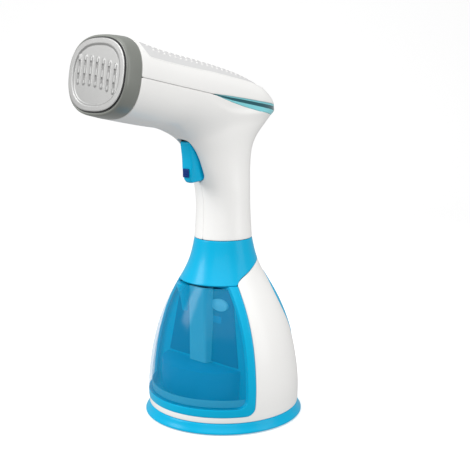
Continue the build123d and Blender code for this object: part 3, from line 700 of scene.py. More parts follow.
def seam_x(z):
    """How far forward the upright edge of the tank is at a height."""
    share = (z - TANK_LOW_Z) / (TANK_TOP_Z - TANK_LOW_Z)
    return SEAM_LOW_X + (SEAM_TOP_X - SEAM_LOW_X) * share


def tank_outline(points):
    """Below zero on the tank."""
    x, z = points[..., 0], points[..., 2]
    return np.maximum(corner(seam_x(z) - x, TANK_LOW_Z - z, 6.0), z - TANK_TOP_Z)


def clear_outline(points):
    """Below zero on the tank's clear front."""
    x, z = points[..., 0], points[..., 2]
    low = corner(seam_x(z) + TANK_RIM - x, CLEAR_LOW_Z - z, 7.0)
    return np.maximum(low, z - TANK_TOP_Z + 1.3)


def collar_edge(points):
    """Above zero below the collar."""
    line = np.interp(points[..., 0], *zip(*COLLAR_EDGE))
    return (line - points[..., 2]) * 0.93


def insert_outline(points):
    """Below zero on the coloured panel set in the body's back."""
    y, z = points[..., 1], points[..., 2] - INSERT_Z
    ring = np.hypot(y / INSERT_HALF[0], z / INSERT_HALF[1])
    return np.maximum((ring - 1) * 38.0, points[..., 0] + 2.0)


def seam_height(points):
    """How far above the head's side seam a point is."""
    return (points[..., 2] - SEAM_TIP[1] - SEAM_SLOPE * (points[..., 0] - SEAM_TIP[0])) * 0.985


def row_at(rows, points):
    """A value from rows of place along the head and value, at each point."""
    return np.interp(points[..., 0], [row[0] for row in rows], [row[1] for row in rows])


def accent_outline(points):
    """Below zero on the wedge-shaped strip."""
    height = seam_height(points)
    above = height - row_at(ACCENT_ABOVE, points)
    below = -height - row_at(ACCENT_BELOW, points)
    return np.maximum(np.maximum(above, below), (points[..., 0] - SEAM_TIP[0]) * 0.2)


def panel_outline(points):
    """Below zero on the vent panel."""
    depth, side, up = head_frame(points)
    wide = np.abs(side) - panel_half_width(depth)
    ends = np.maximum(PANEL_DEPTH[0] - depth, depth - PANEL_DEPTH[1])
    return np.maximum(corner(wide, ends, 6.0), -up)


def opening_outline(points):
    """Below zero in the opening that the trigger sits in."""
    x, y, z = points[..., 0], points[..., 1], points[..., 2]
    wide = np.abs(y) - OPENING[0]
    low = corner(wide, OPENING[1] - z, 5.6)
    return np.maximum(np.maximum(low, corner(wide, z - OPENING[2], 2.5)), 14.0 - x)


# ---------------------------------------------------------------- materials


class Wire:
    """One output in a material's graph, which takes part in sums like a number."""

    def __init__(self, tree, socket):
        self.tree = tree
        self.socket = socket

    def node(self, kind, settings, values, output=0):
        """Adds any node: its type, its settings, then its inputs."""
        made = self.tree.nodes.new(kind)
        for key, value in settings.items():
            setattr(made, key, value)
        for key, value in values.items():
            if isinstance(value, Wire):
                self.tree.links.new(value.socket, made.inputs[key])
            else:
                made.inputs[key].default_value = value
        return Wire(self.tree, made.outputs[output])

    def maths(self, operation, *values):
        """A Math node."""
        return self.node("ShaderNodeMath", {"operation": operation}, dict(enumerate(values)))

    def __add__(self, other):
        return self.maths("ADD", self, other)

    def __radd__(self, other):
        return self.maths("ADD", other, self)

    def __sub__(self, other):
        return self.maths("SUBTRACT", self, other)

    def __rsub__(self, other):
        return self.maths("SUBTRACT", other, self)

    def __mul__(self, other):
        return self.maths("MULTIPLY", self, other)

    def __rmul__(self, other):
        return self.maths("MULTIPLY", other, self)

    def __truediv__(self, other):
        return self.maths("DIVIDE", self, other)

    def __rtruediv__(self, other):
        return self.maths("DIVIDE", other, self)

    def __pow__(self, other):
        return self.maths("POWER", self, other)

    def blend(self, first, second):
        """A colour between two, by this value."""
        values = {0: self, 6: first, 7: second}
        return self.node("ShaderNodeMix", {"data_type": "RGBA"}, values, 2)

    def noise(self, scale, detail=3.0, stretch=(1.0, 1.0, 1.0)):
        """Cloudy noise from 0 to 1."""
        scaled = self.node("ShaderNodeVectorMath", {"operation": "MULTIPLY"}, {0: self, 1: stretch})
        return self.node("ShaderNodeTexNoise", {}, {"Vector": scaled, "Scale": scale, "Detail": detail})


def material(name):
    """A new material: its place wire and its surface node."""
    made = bpy.data.materials.new(name)
    made.use_nodes = True
    tree = made.node_tree
    surface = tree.nodes["Principled BSDF"]
    start = tree.nodes.new("ShaderNodeTexCoord")
    return made, Wire(tree, start.outputs["Object"]), surface


def feed(tree, surface, **values):
    """Sets or links the surface's inputs."""
    for key, value in values.items():
        socket = surface.inputs[key.replace("_", " ")]
        if isinstance(value, Wire):
            tree.links.new(value.socket, socket)
        else:
            socket.default_value = value


def bump(place, height, depth_mm):
    """A bump from a height that runs from 0 to 1."""
    values = {"Height": height, "Distance": depth_mm * MM, "Strength": 1.0}
    return place.node("ShaderNodeBump", {}, values)


def shade(colour, amount):
    """A colour made lighter or darker."""
    return tuple(min(1.0, channel * amount) for channel in colour[:3]) + (1.0,)


def plastic(name, colour, roughness=0.22, texture=0.012, coat=0.25, spread=0.05, grain=260.0, shine=0.5):
    """Moulded plastic: a slightly uneven gloss, a fine orange peel and a little depth in the colour."""
    made, place, surface = material(name)
    tree = made.node_tree
    cloud = place.noise(34.0, 4.0)
    flow = place.noise(9.0, 2.0, (1.0, 1.0, 0.35))
    fine = place.noise(grain, 2.0)
    tone = (cloud * 0.6 + flow * 0.4).blend(shade(colour, 1 - spread), shade(colour, 1 + spread))
    rough = (cloud - 0.5) * 0.06 + roughness
    feed(tree, surface, Base_Color=tone, Roughness=rough, Coat_Weight=coat, Coat_Roughness=0.08)
    feed(tree, surface, IOR=1.47, Specular_IOR_Level=shine)
    feed(tree, surface, Normal=bump(place, fine * 0.8 + flow * 0.2, texture))
    return made


def clear_plastic(name, colour, alpha):
    """Tinted see-through plastic with faint flow marks."""
    made, place, surface = material(name)
    tree = made.node_tree
    flow = place.noise(11.0, 2.0, (1.0, 1.0, 0.4))
    tone = flow.blend(shade(colour, 0.94), shade(colour, 1.06))
    feed(tree, surface, Base_Color=tone, Roughness=(flow - 0.5) * 0.03 + 0.14)
    feed(tree, surface, Alpha=(flow - 0.5) * 0.05 + alpha, IOR=1.49, Specular_IOR_Level=0.25)
    feed(tree, surface, Coat_Weight=0.06, Coat_Roughness=0.2)
    feed(tree, surface, Normal=bump(place, flow, 0.02))
    return made


def metal(name, colour, roughness=0.2, brush=(1.0, 1.0, 14.0), depth=0.004, metallic=1.0):
    """Metal with a brushed or rolled grain and faint smudges."""
    made, place, surface = material(name)
    tree = made.node_tree
    grain = place.noise(220.0, 3.0, brush)
    smudge = place.noise(45.0, 3.0)
    tone = smudge.blend(shade(colour, 0.93), shade(colour, 1.05))
    rough = (grain - 0.5) * 0.05 + (smudge - 0.5) * 0.06 + roughness
    feed(tree, surface, Base_Color=tone, Roughness=rough, Metallic=metallic)
    feed(tree, surface, Normal=bump(place, grain, depth))
    return made


def rubber(name, colour, roughness=0.62):
    """Soft rubber with a matt, slightly pitted skin."""
    made, place, surface = material(name)
    tree = made.node_tree
    pits = place.node("ShaderNodeTexVoronoi", {}, {"Vector": place, "Scale": 900.0})
    cloud = place.noise(60.0, 3.0)
    tone = cloud.blend(shade(colour, 0.85), shade(colour, 1.2))
    feed(tree, surface, Base_Color=tone, Roughness=(cloud - 0.5) * 0.1 + roughness)
    feed(tree, surface, Normal=bump(place, pits, 0.02))
    return made


def board(name, colour):
    """A printed circuit board with tracks under its green coat."""
    made, place, surface = material(name)
    tree = made.node_tree
    wave = {"bands_direction": "Y"}
    track = place.node("ShaderNodeTexWave", wave, {"Vector": place, "Scale": 160.0, "Distortion": 9.0})
    line = track.maths("GREATER_THAN", track, 0.72)
    tone = line.blend(shade(colour, 0.8), shade(colour, 1.7))
    feed(tree, surface, Base_Color=tone, Roughness=0.42 - line * 0.12, Normal=bump(place, line, 0.03))
    return made


# ---------------------------------------------------------------- settings


def colour_setting(label, words, value):
    """A colour that a user can change."""
    return bpy.props.FloatVectorProperty(
        name=label, description=words, default=value, size=3, min=0.0, max=1.0, subtype="COLOR"
    )


class SteamerColours(bpy.types.PropertyGroup):
    """The steamer's colours."""

    white: colour_setting("Shell white", "Colour of the white mouldings", (0.87, 0.865, 0.85))
    blue: colour_setting("Blue", "Colour of the blue mouldings", (0.0, 0.41, 0.68))
    clear: colour_setting("Tank tint", "Tint of the see-through tank", (0.0, 0.36, 0.64))
    # Deep blue is the lock button's own colour; on the sheet inside the tank and on the bay behind it, it is
    # painted shade for the dark cavity there.
    deep: colour_setting("Deep blue", "Colour of the dark wall inside the tank", (0.0, 0.03, 0.19))
    inner: colour_setting("Inner blue", "Colour of the tank's back", (0.0, 0.22, 0.50))
    # The lighter spine blue is painted light: on the column it stands for its lit front face, and on the band
    # at the tank's floor for a highlight.
    spine: colour_setting("Spine blue", "Colour of the upright column inside the tank", (0.10, 0.50, 0.68))
    light_blue: colour_setting("Plug blue", "Colour of the fill plug", (0.22, 0.74, 1.0))
    bezel: colour_setting("Bezel grey", "Colour of the ring round the steam plate", (0.20, 0.21, 0.19))
    steel: colour_setting("Steel", "Colour of the steam plate", (0.36, 0.36, 0.355))
    teal: colour_setting("Teal", "Colour of the wedge-shaped strip", (0.20, 0.62, 0.68))
    # The dark teal of the groove's core is painted shade for the shadow inside the strip's V-groove.
    groove_shade_teal: colour_setting("Dark teal", "Colour of the groove in the strip", (0.0, 0.085, 0.11))
    panel: colour_setting("Vent panel grey", "Colour of the vent panel", (0.66, 0.66, 0.66))


def length_setting(label, words, value, least, most):
    """A length in metres that a user can change."""
    return bpy.props.FloatProperty(
        name=label, description=words, default=value, min=least, max=most, unit="LENGTH"
    )


class SteamerSizes(bpy.types.PropertyGroup):
    """The steamer's small sizes."""

    gap: length_setting("Joint gap", "Half the width of the line between two mouldings", 0.00013, 0.0, 0.001)
    edge: length_setting(
        "Edge radius", "Radius that the mouldings' edges are rounded to", 0.00035, 0.0001, 0.001
    )
    wall: length_setting("Wall", "Thickness of the mouldings", 0.0022, 0.001, 0.004)
    vent_dot: length_setting("Vent dot", "Radius of one dot on the vent panel", 0.00075, 0.0002, 0.001)
    tank_alpha: bpy.props.FloatProperty(
        name="Tank strength",
        description="How strongly the tank's tint hides what is behind it",
        default=0.3,
        min=0.05,
        max=1.0,
        subtype="FACTOR",
    )


# ---------------------------------------------------------------- operators

skins = {}
paints = {}


def skin(name):
    """A skin, made the first time it is asked for."""
    makers = {"bell": bell_skin, "handle": handle_skin, "plate": plate_skin}
    if name not in skins:
        skins[name] = makers[name]()
    return skins[name]


def paint(name):
    """A material, made the first time it is asked for."""
    c = bpy.context.scene.steamer_colours
    alpha = bpy.context.scene.steamer_sizes.tank_alpha
    makers = {
        "white": lambda: plastic("white_plastic", c.white, 0.3, coat=0.12, spread=0.012, shine=0.35),
        "blue": lambda: plastic("blue_plastic", c.blue, 0.3, coat=0.05, spread=0.03, shine=0.16),
        "clear": lambda: clear_plastic("tank_plastic", c.clear, alpha),
        "deep": lambda: plastic("deep_blue_plastic", c.deep, 0.35, coat=0.0, spread=0.05, shine=0.2),
        "spine": lambda: plastic("spine_painted_light_plastic", c.spine, 0.35, coat=0.1, spread=0.05, shine=0.3),
        "tank": lambda: plastic("tank_inner_plastic", c.inner, 0.4, coat=0.0, spread=0.05, shine=0.2),
        "plug": lambda: plastic("plug_plastic", c.light_blue, 0.3, spread=0.03, shine=0.3),
        "bezel": lambda: plastic("bezel_paint", c.bezel, 0.34, 0.02, 0.15, 0.03, 700.0),
        "steel": lambda: metal("plate_steel", c.steel, 0.4, (1.0, 1.0, 9.0), 0.0006, 0.45),
        "teal": lambda: plastic("teal_gloss", c.teal, 0.2, spread=0.04),
        "groove_shade_teal": lambda: plastic("groove_shade_teal_gloss", c.groove_shade_teal, 0.18, spread=0.06),
        "panel": lambda: plastic("panel_plastic", c.panel, 0.38, 0.03, 0.1, 0.02, 700.0),
        "gasket": lambda: rubber("gasket_rubber", (0.02, 0.02, 0.022)),
        "pad": lambda: rubber("pad_rubber", (0.13, 0.13, 0.135)),
        "screw": lambda: metal("screw_steel", (0.62, 0.61, 0.6), 0.25, (1.0, 1.0, 1.0), 0.008),
        "inner_white": lambda: plastic("inner_white_plastic", (0.72, 0.72, 0.7), 0.45, 0.03, 0.0),
        "inner_black": lambda: plastic("inner_black_plastic", (0.028, 0.028, 0.03), 0.42, 0.03, 0.0, 0.2),
        "silicone": lambda: rubber("silicone_tube", (0.62, 0.63, 0.6), 0.4),
        "board": lambda: board("circuit_board", (0.01, 0.14, 0.05)),
        "wire": lambda: rubber("wire_sleeve", (0.66, 0.65, 0.62), 0.45),
        # The heating block's aluminium is painted near black: painted shade so the steam plate's holes read
        # dark.
        "aluminium": lambda: metal("cast_aluminium_painted_shade", (0.10, 0.10, 0.105), 0.42, (1.0, 1.0, 1.0), 0.03),
    }
    if name not in paints:
        paints[name] = makers[name]()
    return paints[name]


def sizes():
    """The gap, edge radius and wall in millimetres."""
    s = bpy.context.scene.steamer_sizes
    return s.gap / MM, s.edge / MM, s.wall / MM


class STEAMER_OT_base(bpy.types.Operator):
    """Builds the base ring and the pad that the steamer stands on"""

    bl_idname = "steamer.base"
    bl_label = "Base"

    def execute(self, context):
        ring = (
            (57.8, 0.55), (59.0, 0.55), (59.6, 0.75), (59.95, 1.2), (59.9, 1.9), (59.45, 2.7), (58.8, 3.7),
            (58.2, 4.9), (57.7, 6.2), (57.25, 7.4), (56.9, 7.8), (56.4, 7.9), (54.6, 7.9), (54.6, 3.4),
            (56.9, 3.4), (56.9, 0.55),
        )
        points, faces = lathe(ring)
        build("base_ring_detail", points, faces, "housing", ["base_ring"], paint("blue"))
        pad = [(30.0, 1.6), (30.0, 0.4), (30.4, 0.0)]
        for groove in range(6):
            start = 31.4 + groove * 1.9
            pad += [(start, 0.0), (start + 0.2, 0.5), (start + 0.7, 0.5), (start + 0.9, 0.0)]
        pad += [(41.5, 0.0), (42.0, 0.5), (42.0, 1.6)]
        points, faces = lathe(list(reversed(pad)))
        build("pad_detail", points, faces, "housing", ["anti_slip_pad"], paint("pad"))
        return {"FINISHED"}


class STEAMER_OT_body(bpy.types.Operator):
    """Builds the white back shell, the panel in it and the collar"""

    bl_idname = "steamer.body"
    bl_label = "Body"

    def execute(self, context):
        gap, edge, wall = sizes()
        bell = skin("bell")

        def rear(at):
            low = SKIRT_Z + gap - at[..., 2]
            above = gap - collar_edge(at)
            holes = np.minimum(tank_outline(at), insert_outline(at))
            return np.maximum(np.maximum(low, above), gap - holes)

        def collar(at):
            return np.maximum(collar_edge(at) + gap, at[..., 2] - NECK_SEAM_Z + gap)

        def panel(at):
            return insert_outline(at) + gap

        points, faces = moulding(bell, rear, wall, edge)
        build("rear_shell_detail", points, faces, "housing", ["rear_shell"], paint("white"))
        points, faces = moulding(bell, collar, wall, edge)
        build("collar_detail", points, faces, "housing", ["collar"], paint("blue"))
        points, faces = moulding(bell, panel, wall, edge + 0.2, 0.35)
        build("rear_panel_detail", points, faces, "housing", ["rear_panel"], paint("blue"))
        return {"FINISHED"}


class STEAMER_OT_tank(bpy.types.Operator):
    """Builds the tank's clear front, its coloured rim and what shows through it"""

    bl_idname = "steamer.tank"
    bl_label = "Tank"

    def execute(self, context):
        gap, edge, wall = sizes()
        bell = skin("bell")

        def clear(at):
            return clear_outline(at) + 0.02

        points, faces = moulding(bell, clear, wall, 0.2)
        build("tank_front_detail", points, faces, "tank", ["tank_front"], paint("clear"))

        def rim(at):
            return np.maximum(tank_outline(at) + gap, 0.12 - clear_outline(at))

        points, faces = moulding(bell, rim, wall + 0.2, edge, 0.14)
        build("tank_rim_detail", points, faces, "tank", [], paint("blue"))

        # A thin lighter blue band behind the bottom of the clear front: a painted highlight for the light on
        # the tank's floor.
        def floor_highlight_band(at):
            return np.maximum(clear_outline(at) + 0.4, np.maximum(19.4 - at[..., 2], at[..., 2] - 24.6))

        points, faces = moulding(bell, floor_highlight_band, 0.6, 0.1, -wall - 0.1)
        build("tank_floor_highlight_detail", points, faces, "tank", [], paint("spine"))
        # The shade sheet: a thin deep blue sheet on each side of the column, painted shade for the dark
        # cavity behind the tank.
        parts = []
        for side in (-1, 1):
            rings = []
            for z in np.linspace(*SHADE_SHEET_Z, 39):
                x = float(seam_x(z)) + SHADE_SHEET_FORWARD
                edge_y = math.sqrt((float(bell_radius(z)) - 2.7) ** 2 - x * x) - 0.8
                stop = min(edge_y, SHADE_SHEET_HALF + max(86.0 - z, 0.0) * 0.18)
                row = [(x, 6.4), (x + 0.5, 6.8), (x + 0.5, stop - 0.4), (x, stop)]
                rings.append(np.array([(px, side * py, z) for px, py in row]))
            parts.append(oriented(*sweep(rings, closed=False)))
        points, faces = join(parts)
        build("tank_shade_sheet_detail", points, faces, "tank", [], paint("deep"))
        # The column gets the lighter spine blue as painted light on its lit front face.
        column = COLUMN_OUTER + tuple((x, -y) for x, y in reversed(COLUMN_OUTER)) + COLUMN_INNER
        rings = []
        for z, grow in COLUMN_LEVELS:
            spread = [(px + grow * (px > 26) * 0.4, py * (1 + grow * 0.03), z) for px, py in column]
            rings.append(np.array(spread))
        points, faces = oriented(*sweep(rings, closed=False))
        build("tank_spine_detail", points, faces, "tank", [], paint("spine"))
        points, faces = oriented(*lathe(FUNNEL, 40, FUNNEL_CENTRE))
        build("tank_funnel_detail", points, faces, "tank", [], paint("blue"))
        x = float(seam_x(PLUG_Z)) + 2.6
        parts = [oval(x, x + 2.4, 8.5, 4.5, 0.5), oval(x + 2.4, x + 2.8, 5.2, 2.0, 0.3)]
        points, faces = join(parts)
        build("tank_plug_detail", points, faces, "tank", ["tank_plug"], paint("plug"))
        points, faces = rounded_block((x - 0.1, x + 1.6), (8.0, 17.5), (70.5, 78.5), 0.8)
        build("tank_pad_detail", points, faces, "tank", [], paint("tank"))
        points, faces = oriented(*self.shelf())
        build("tank_shelf_detail", points, faces, "tank", [], paint("tank"))
        return {"FINISHED"}

    def shelf(self):
        """The raised floor of the tank, which follows the front wall."""
        outline = tuple((x, -y) for x, y in SHELF_HALF) + SHELF_HALF[-2::-1]
        rings = []
        for z, inset in SHELF_LEVELS:
            share = 1 - inset / SHELF_HALF[0][1]
            rings.append(np.array([(px - inset, py * share, z) for px, py in outline]))
        return sweep(rings, closed=False)


class STEAMER_OT_handle(bpy.types.Operator):
    """Builds the handle's two halves, the cover over the head and the wedge-shaped strip"""

    bl_idname = "steamer.handle"
    bl_label = "Handle"

    def execute(self, context):
        gap, edge, wall = sizes()
        handle = skin("handle")

        def behind_bezel(at):
            return BEZEL_DEPTH + gap - head_frame(at)[0]

        def cover(at):
            holes = np.minimum(accent_outline(at), panel_outline(at))
            return np.maximum(np.maximum(gap - seam_height(at), gap - holes), behind_bezel(at))

        def lower(at, side):
            holes = np.minimum(accent_outline(at), opening_outline(at))
            edges = np.maximum(gap + seam_height(at), NECK_SEAM_Z + gap - at[..., 2])
            keep = np.maximum(np.maximum(edges, gap - holes), behind_bezel(at))
            return np.maximum(keep, 0.05 - side * at[..., 1])

        points, faces = moulding(handle, cover, wall, edge)
        build("top_cover_detail", points, faces, "housing", ["head_top_cover"], paint("white"))
        for half, side in (("left", 1), ("right", -1)):
            points, faces = moulding(handle, lambda at, side=side: lower(at, side), wall, edge)
            name = f"{half}_shell_detail"
            node = f"handle_{half}_shell"
            build(name, points, faces, "housing", [node], paint("white"))

        below = [(x, -drop) for x, drop in ACCENT_BELOW]
        groove_below = [(x, -drop) for x, drop in GROOVE_BELOW]
        outer = [(0.0, -0.35), (0.5, -0.25), (0.9, -0.12), (1.0, -0.3), (1.0, -1.8), (0.0, -1.8)]
        points, faces = strip(handle, GROOVE_ABOVE, ACCENT_ABOVE, outer)
        build("strip_upper_detail", points, faces, "housing", ["rear_accent"], paint("teal"))
        outer = [(0.0, -1.8), (0.0, -0.3), (0.05, -0.12), (0.5, -0.22), (1.0, -0.35), (1.0, -1.8)]
        points, faces = strip(handle, below, groove_below, outer)
        build("strip_lower_detail", points, faces, "housing", [], paint("teal"))
        # The groove's core is a recessed dark teal strip, painted shade for the shadow inside the V-groove.
        core = [(-0.1, -0.45), (0.5, -0.6), (1.1, -0.45), (1.1, -1.7), (-0.1, -1.7)]
        points, faces = strip(handle, groove_below, GROOVE_ABOVE, core)
        build("strip_groove_shade_detail", points, faces, "housing", [], paint("groove_shade_teal"))
        return {"FINISHED"}


class STEAMER_OT_vents(bpy.types.Operator):
    """Builds the vent panel on top of the head and its dots"""

    bl_idname = "steamer.vents"
    bl_label = "Vent panel"

    def execute(self, context):
        gap, _, _ = sizes()
        handle = skin("handle")
        points, faces = moulding(handle, lambda at: panel_outline(at) + gap, 1.5, 0.25, -PANEL_DROP)
        build("vent_panel_detail", points, faces, "housing", ["vent_panel"], paint("panel"))
        radius = context.scene.steamer_sizes.vent_dot / MM
        spots = []
        for row in range(-5, 6):
            for i in range(20):
                depth = 26.0 + 5.2 * i + (2.6 if row % 2 else 0.0)
                side = 3.9 * row * float(panel_half_width(depth)) / 24.6
                spots.append((depth, side, float(head_top(depth, side))))
        flat = np.array([head_point(*spot) for spot in spots])
        at = handle.settle(flat)
        out = handle.normal(at)
        at = at - out * PANEL_DROP
        parts = []
        angles = np.arange(10) * 2 * math.pi / 10
        for point, normal in zip(at, out):
            first = unit(np.cross(normal, (0.0, 1.0, 0.0)))
            second = np.cross(normal, first)
            around = np.outer(np.cos(angles), first) + np.outer(np.sin(angles), second)
            levels = ((1.0, -0.3), (1.0, 0.1), (0.8, 0.3), (0.45, 0.42), (0.12, 0.45))
            rings = [point + around * radius * r + normal * h for r, h in levels]
            parts.append(sweep(rings, closed=False))
        points, faces = join(parts)
        build("vent_dots_detail", points, faces, "housing", [], paint("white"))
        corners = [(d, float(panel_half_width(d)) + 0.3) for d in np.linspace(22, 142, 41)]
        near = [(16.2, side) for side in np.linspace(0, 20.0, 9)] + [(16.7, 22.8), (18.2, 25.0), (20.0, 26.0)]
        far = [(144.5, 12.2), (146.4, 9.8), (147.3, 6.5), (147.5, 3.0)]
        half = np.array(near + corners + far)
        mirrored = half[:0:-1] * (1, -1)
        depth, side = np.concatenate([half, mirrored]).T
        path = head_point(depth, side, head_top(depth, side))
        bead = (
            (-0.55, -1.2), (-0.55, -0.1), (-0.3, 0.16), (0.0, 0.24), (0.35, 0.12), (0.6, -0.1), (0.6, -1.2),
        )
        points, faces = ribbon(handle, path, bead)
        build("vent_rim_detail", points, faces, "housing", [], paint("white"))
        return {"FINISHED"}


class STEAMER_OT_face(bpy.types.Operator):
    """Builds the bezel, the gasket and the steam plate with its ribs and holes"""

    bl_idname = "steamer.face"
    bl_label = "Steam face"

    def execute(self, context):
        profile = (
            (12.9, 0.5), (12.6, 0.1), (12.0, -0.05), (7.0, -0.05), (2.4, -0.05), (1.0, 0.1), (0.3, 0.5),
            (-0.05, 1.0), (-0.1, 1.35), (0.1, 1.75),
        )
        rings = [head_ring(depth, inset) for depth, inset in profile]
        rings += [face_ring(depth, 29.75, 24.55, 24.55) for depth in (0.8, 2.4, 4.9)]
        rings += [face_ring(depth, 27.2, 22.2, 22.2) for depth in (5.0, 12.9)]
        points, faces = sweep(rings)
        build("bezel_detail", points, faces, "housing", ["bezel"], paint("bezel"))
        lip = ((4.8, -0.4), (4.8, 0.5), (0.2, 0.5), (-0.25, 0.3), (-0.25, -0.2), (0.2, -0.4))
        half, tall = PLATE_HALF
        rings = [face_ring(depth, half + reach, tall + reach, tall + reach) for depth, reach in lip]
        points, faces = sweep(rings)
        build("gasket_detail", points, faces, "housing", ["plate_gasket"], paint("gasket"))

        def plate(at):
            _, side, up = head_frame(at)
            outline = (plate_reach(side, up) - 1) * PLATE_SCALE + 0.3
            hole = np.full(side.shape, 1e3)
            for i in RIB_STEPS:
                centre = i * RIB_PITCH
                for way in (-1, 1):
                    middle = rib_middle(centre) + way * HOLE_OFFSET
                    along = np.maximum(np.abs(up - middle) - (HOLE_SIZE[1] - HOLE_SIZE[0]) / 2, 0)
                    hole = np.minimum(hole, np.hypot(side - centre, along) - HOLE_SIZE[0] / 2)
            return np.maximum(outline, -hole)

        points, faces = moulding(skin("plate"), plate, 1.3, 0.15)
        build("steam_plate_detail", points, faces, "housing", ["steam_plate"], paint("steel"), 60.0)
        return {"FINISHED"}


class STEAMER_OT_trigger(bpy.types.Operator):
    """Builds the trigger and the lock button on it"""

    bl_idname = "steamer.trigger"
    bl_label = "Trigger"

    def execute(self, context):
        outline = np.array(TRIGGER_OUTLINE, float)
        count = len(outline)
        steps = np.linspace(0, count, 96, endpoint=False)
        wrap = np.concatenate([outline, outline[:1]])
        flat = np.column_stack([np.interp(steps, np.arange(count + 1), wrap[:, k]) for k in (0, 1)])
        for _ in range(3):
            flat = (np.roll(flat, 1, 0) + 2 * flat + np.roll(flat, -1, 0)) / 4
        along = unit(np.roll(flat, -1, 0) - np.roll(flat, 1, 0))
        inward = np.column_stack([along[:, 1], -along[:, 0]])
        centre = flat.mean(0)
        if ((centre - flat) * inward).sum() < 0:
            inward = -inward
        rings = []
        stations = TRIGGER_SIDE + tuple((-side, inset) for side, inset in reversed(TRIGGER_SIDE[:-1]))
        for side, inset in stations:
            moved = flat + inward * inset
            share = np.interp(moved[:, 1], *zip(*TRIGGER_TAPER))
            rings.append(np.column_stack([moved[:, 0], side * share, moved[:, 1]]))
        points, faces = oriented(*sweep(rings, closed=False))
        build("trigger_detail", points, faces, "trigger", ["trigger"], paint("blue"))
        (x0, x1), (y0, y1), (z0, z1) = LOCK_BOX
        parts = [rounded_block((x0, x1), (y0, y1), (z0, z1), 0.45)]
        for i in range(4):
            z = z0 + 1.3 + i * (z1 - z0 - 2.6) / 3
            across = (y0 + 0.8, y1 - 0.8)
            parts.append(rounded_block((x1 - 0.3, x1 + 0.25), across, (z - 0.32, z + 0.32), 0.2))
        points, faces = join(parts)
        build("lock_detail", points, faces, "lock", ["trigger_lock"], paint("deep"))
        return {"FINISHED"}


def oriented(points, faces):
    """The same mesh with its faces pointing outwards."""
    if signed_volume(points, faces) < 0:
        faces = [face[::-1] for face in faces]
    return points, faces


def oval(x0, x1, half, tall, soft):
    """An oval button on the tank's back wall."""
    angles = np.arange(48) * 2 * math.pi / 48
    rings = []
    for x, inset in ((x0, 0.0), (x1 - soft, 0.0), (x1 - 0.3 * soft, 0.3 * soft), (x1, soft)):
        y = PLUG_Y + (half - inset) * np.cos(angles)
        z = PLUG_Z + (tall - inset) * np.sin(angles)
        rings.append(np.column_stack([np.full(48, x), y, z]))
    return oriented(*sweep(rings, closed=False))


def signed_volume(points, faces):
    """Above zero if the faces point outwards."""
    total = 0.0
    for face in faces:
        for i in range(1, len(face) - 1):
            total += np.dot(points[face[0]], np.cross(points[face[i]], points[face[i + 1]]))
    return total


def rounded_block(x, y, z, radius):
    """A block with its upright sides rounded and its front edge softened."""
    turns = 32
    angles = np.arange(turns) * 2 * math.pi / turns
    c, s = np.cos(angles), np.sin(angles)
    half_y, half_z = (y[1] - y[0]) / 2, (z[1] - z[0]) / 2
    middle_y, middle_z = (y[0] + y[1]) / 2, (z[0] + z[1]) / 2
    soft = min(0.35, radius)
    rings = []
    for depth, inset in ((x[0], 0.0), (x[1] - soft, 0.0), (x[1] - 0.3 * soft, 0.3 * soft), (x[1], soft)):
        wide = np.sign(c) * (half_y - radius) + c * (radius - inset)
        tall = np.sign(s) * (half_z - radius) + s * (radius - inset)
        rings.append(np.column_stack([np.full(turns, depth), middle_y + wide, middle_z + tall]))
    return sweep(rings, closed=False)


class STEAMER_OT_inside(bpy.types.Operator):
    """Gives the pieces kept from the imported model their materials"""

    bl_idname = "steamer.inside"
    bl_label = "Kept pieces"

    def execute(self, context):
        wanted = {
            "base_plate": "inner_white",
            "base_screws": "screw",
            "tank_back": "blue",
            "tank_seal": "gasket",
            "intake_tube": "inner_white",
            "intake_filter": "inner_white",
            # The bay is painted deep blue: painted shade for the dark cavity behind the tank.
            "tank_bay": "deep",
            "water_pump": "inner_black",
            "suction_hose": "silicone",
            "steam_hose": "silicone",
            "control_board": "board",
            "power_leads": "wire",
            "cord_gland": "inner_black",
            "cord_clamp": "inner_black",
            # Near black on the aluminium block is painted shade for the steam plate's holes.
            "heating_block": "aluminium",
            "heating_element": "steel",
            "thermostat": "steel",
            "thermal_fuse": "inner_white",
            "trigger_pin": "screw",
            "trigger_spring": "screw",
            "microswitch": "inner_black",
        }
        for name, paint_name in wanted.items():
            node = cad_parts[name]
            node.data.materials.clear()
            node.data.materials.append(paint(paint_name))
            node.data.shade_smooth()
            node.data.set_sharp_from_angle(angle=math.radians(32))
        return {"FINISHED"}


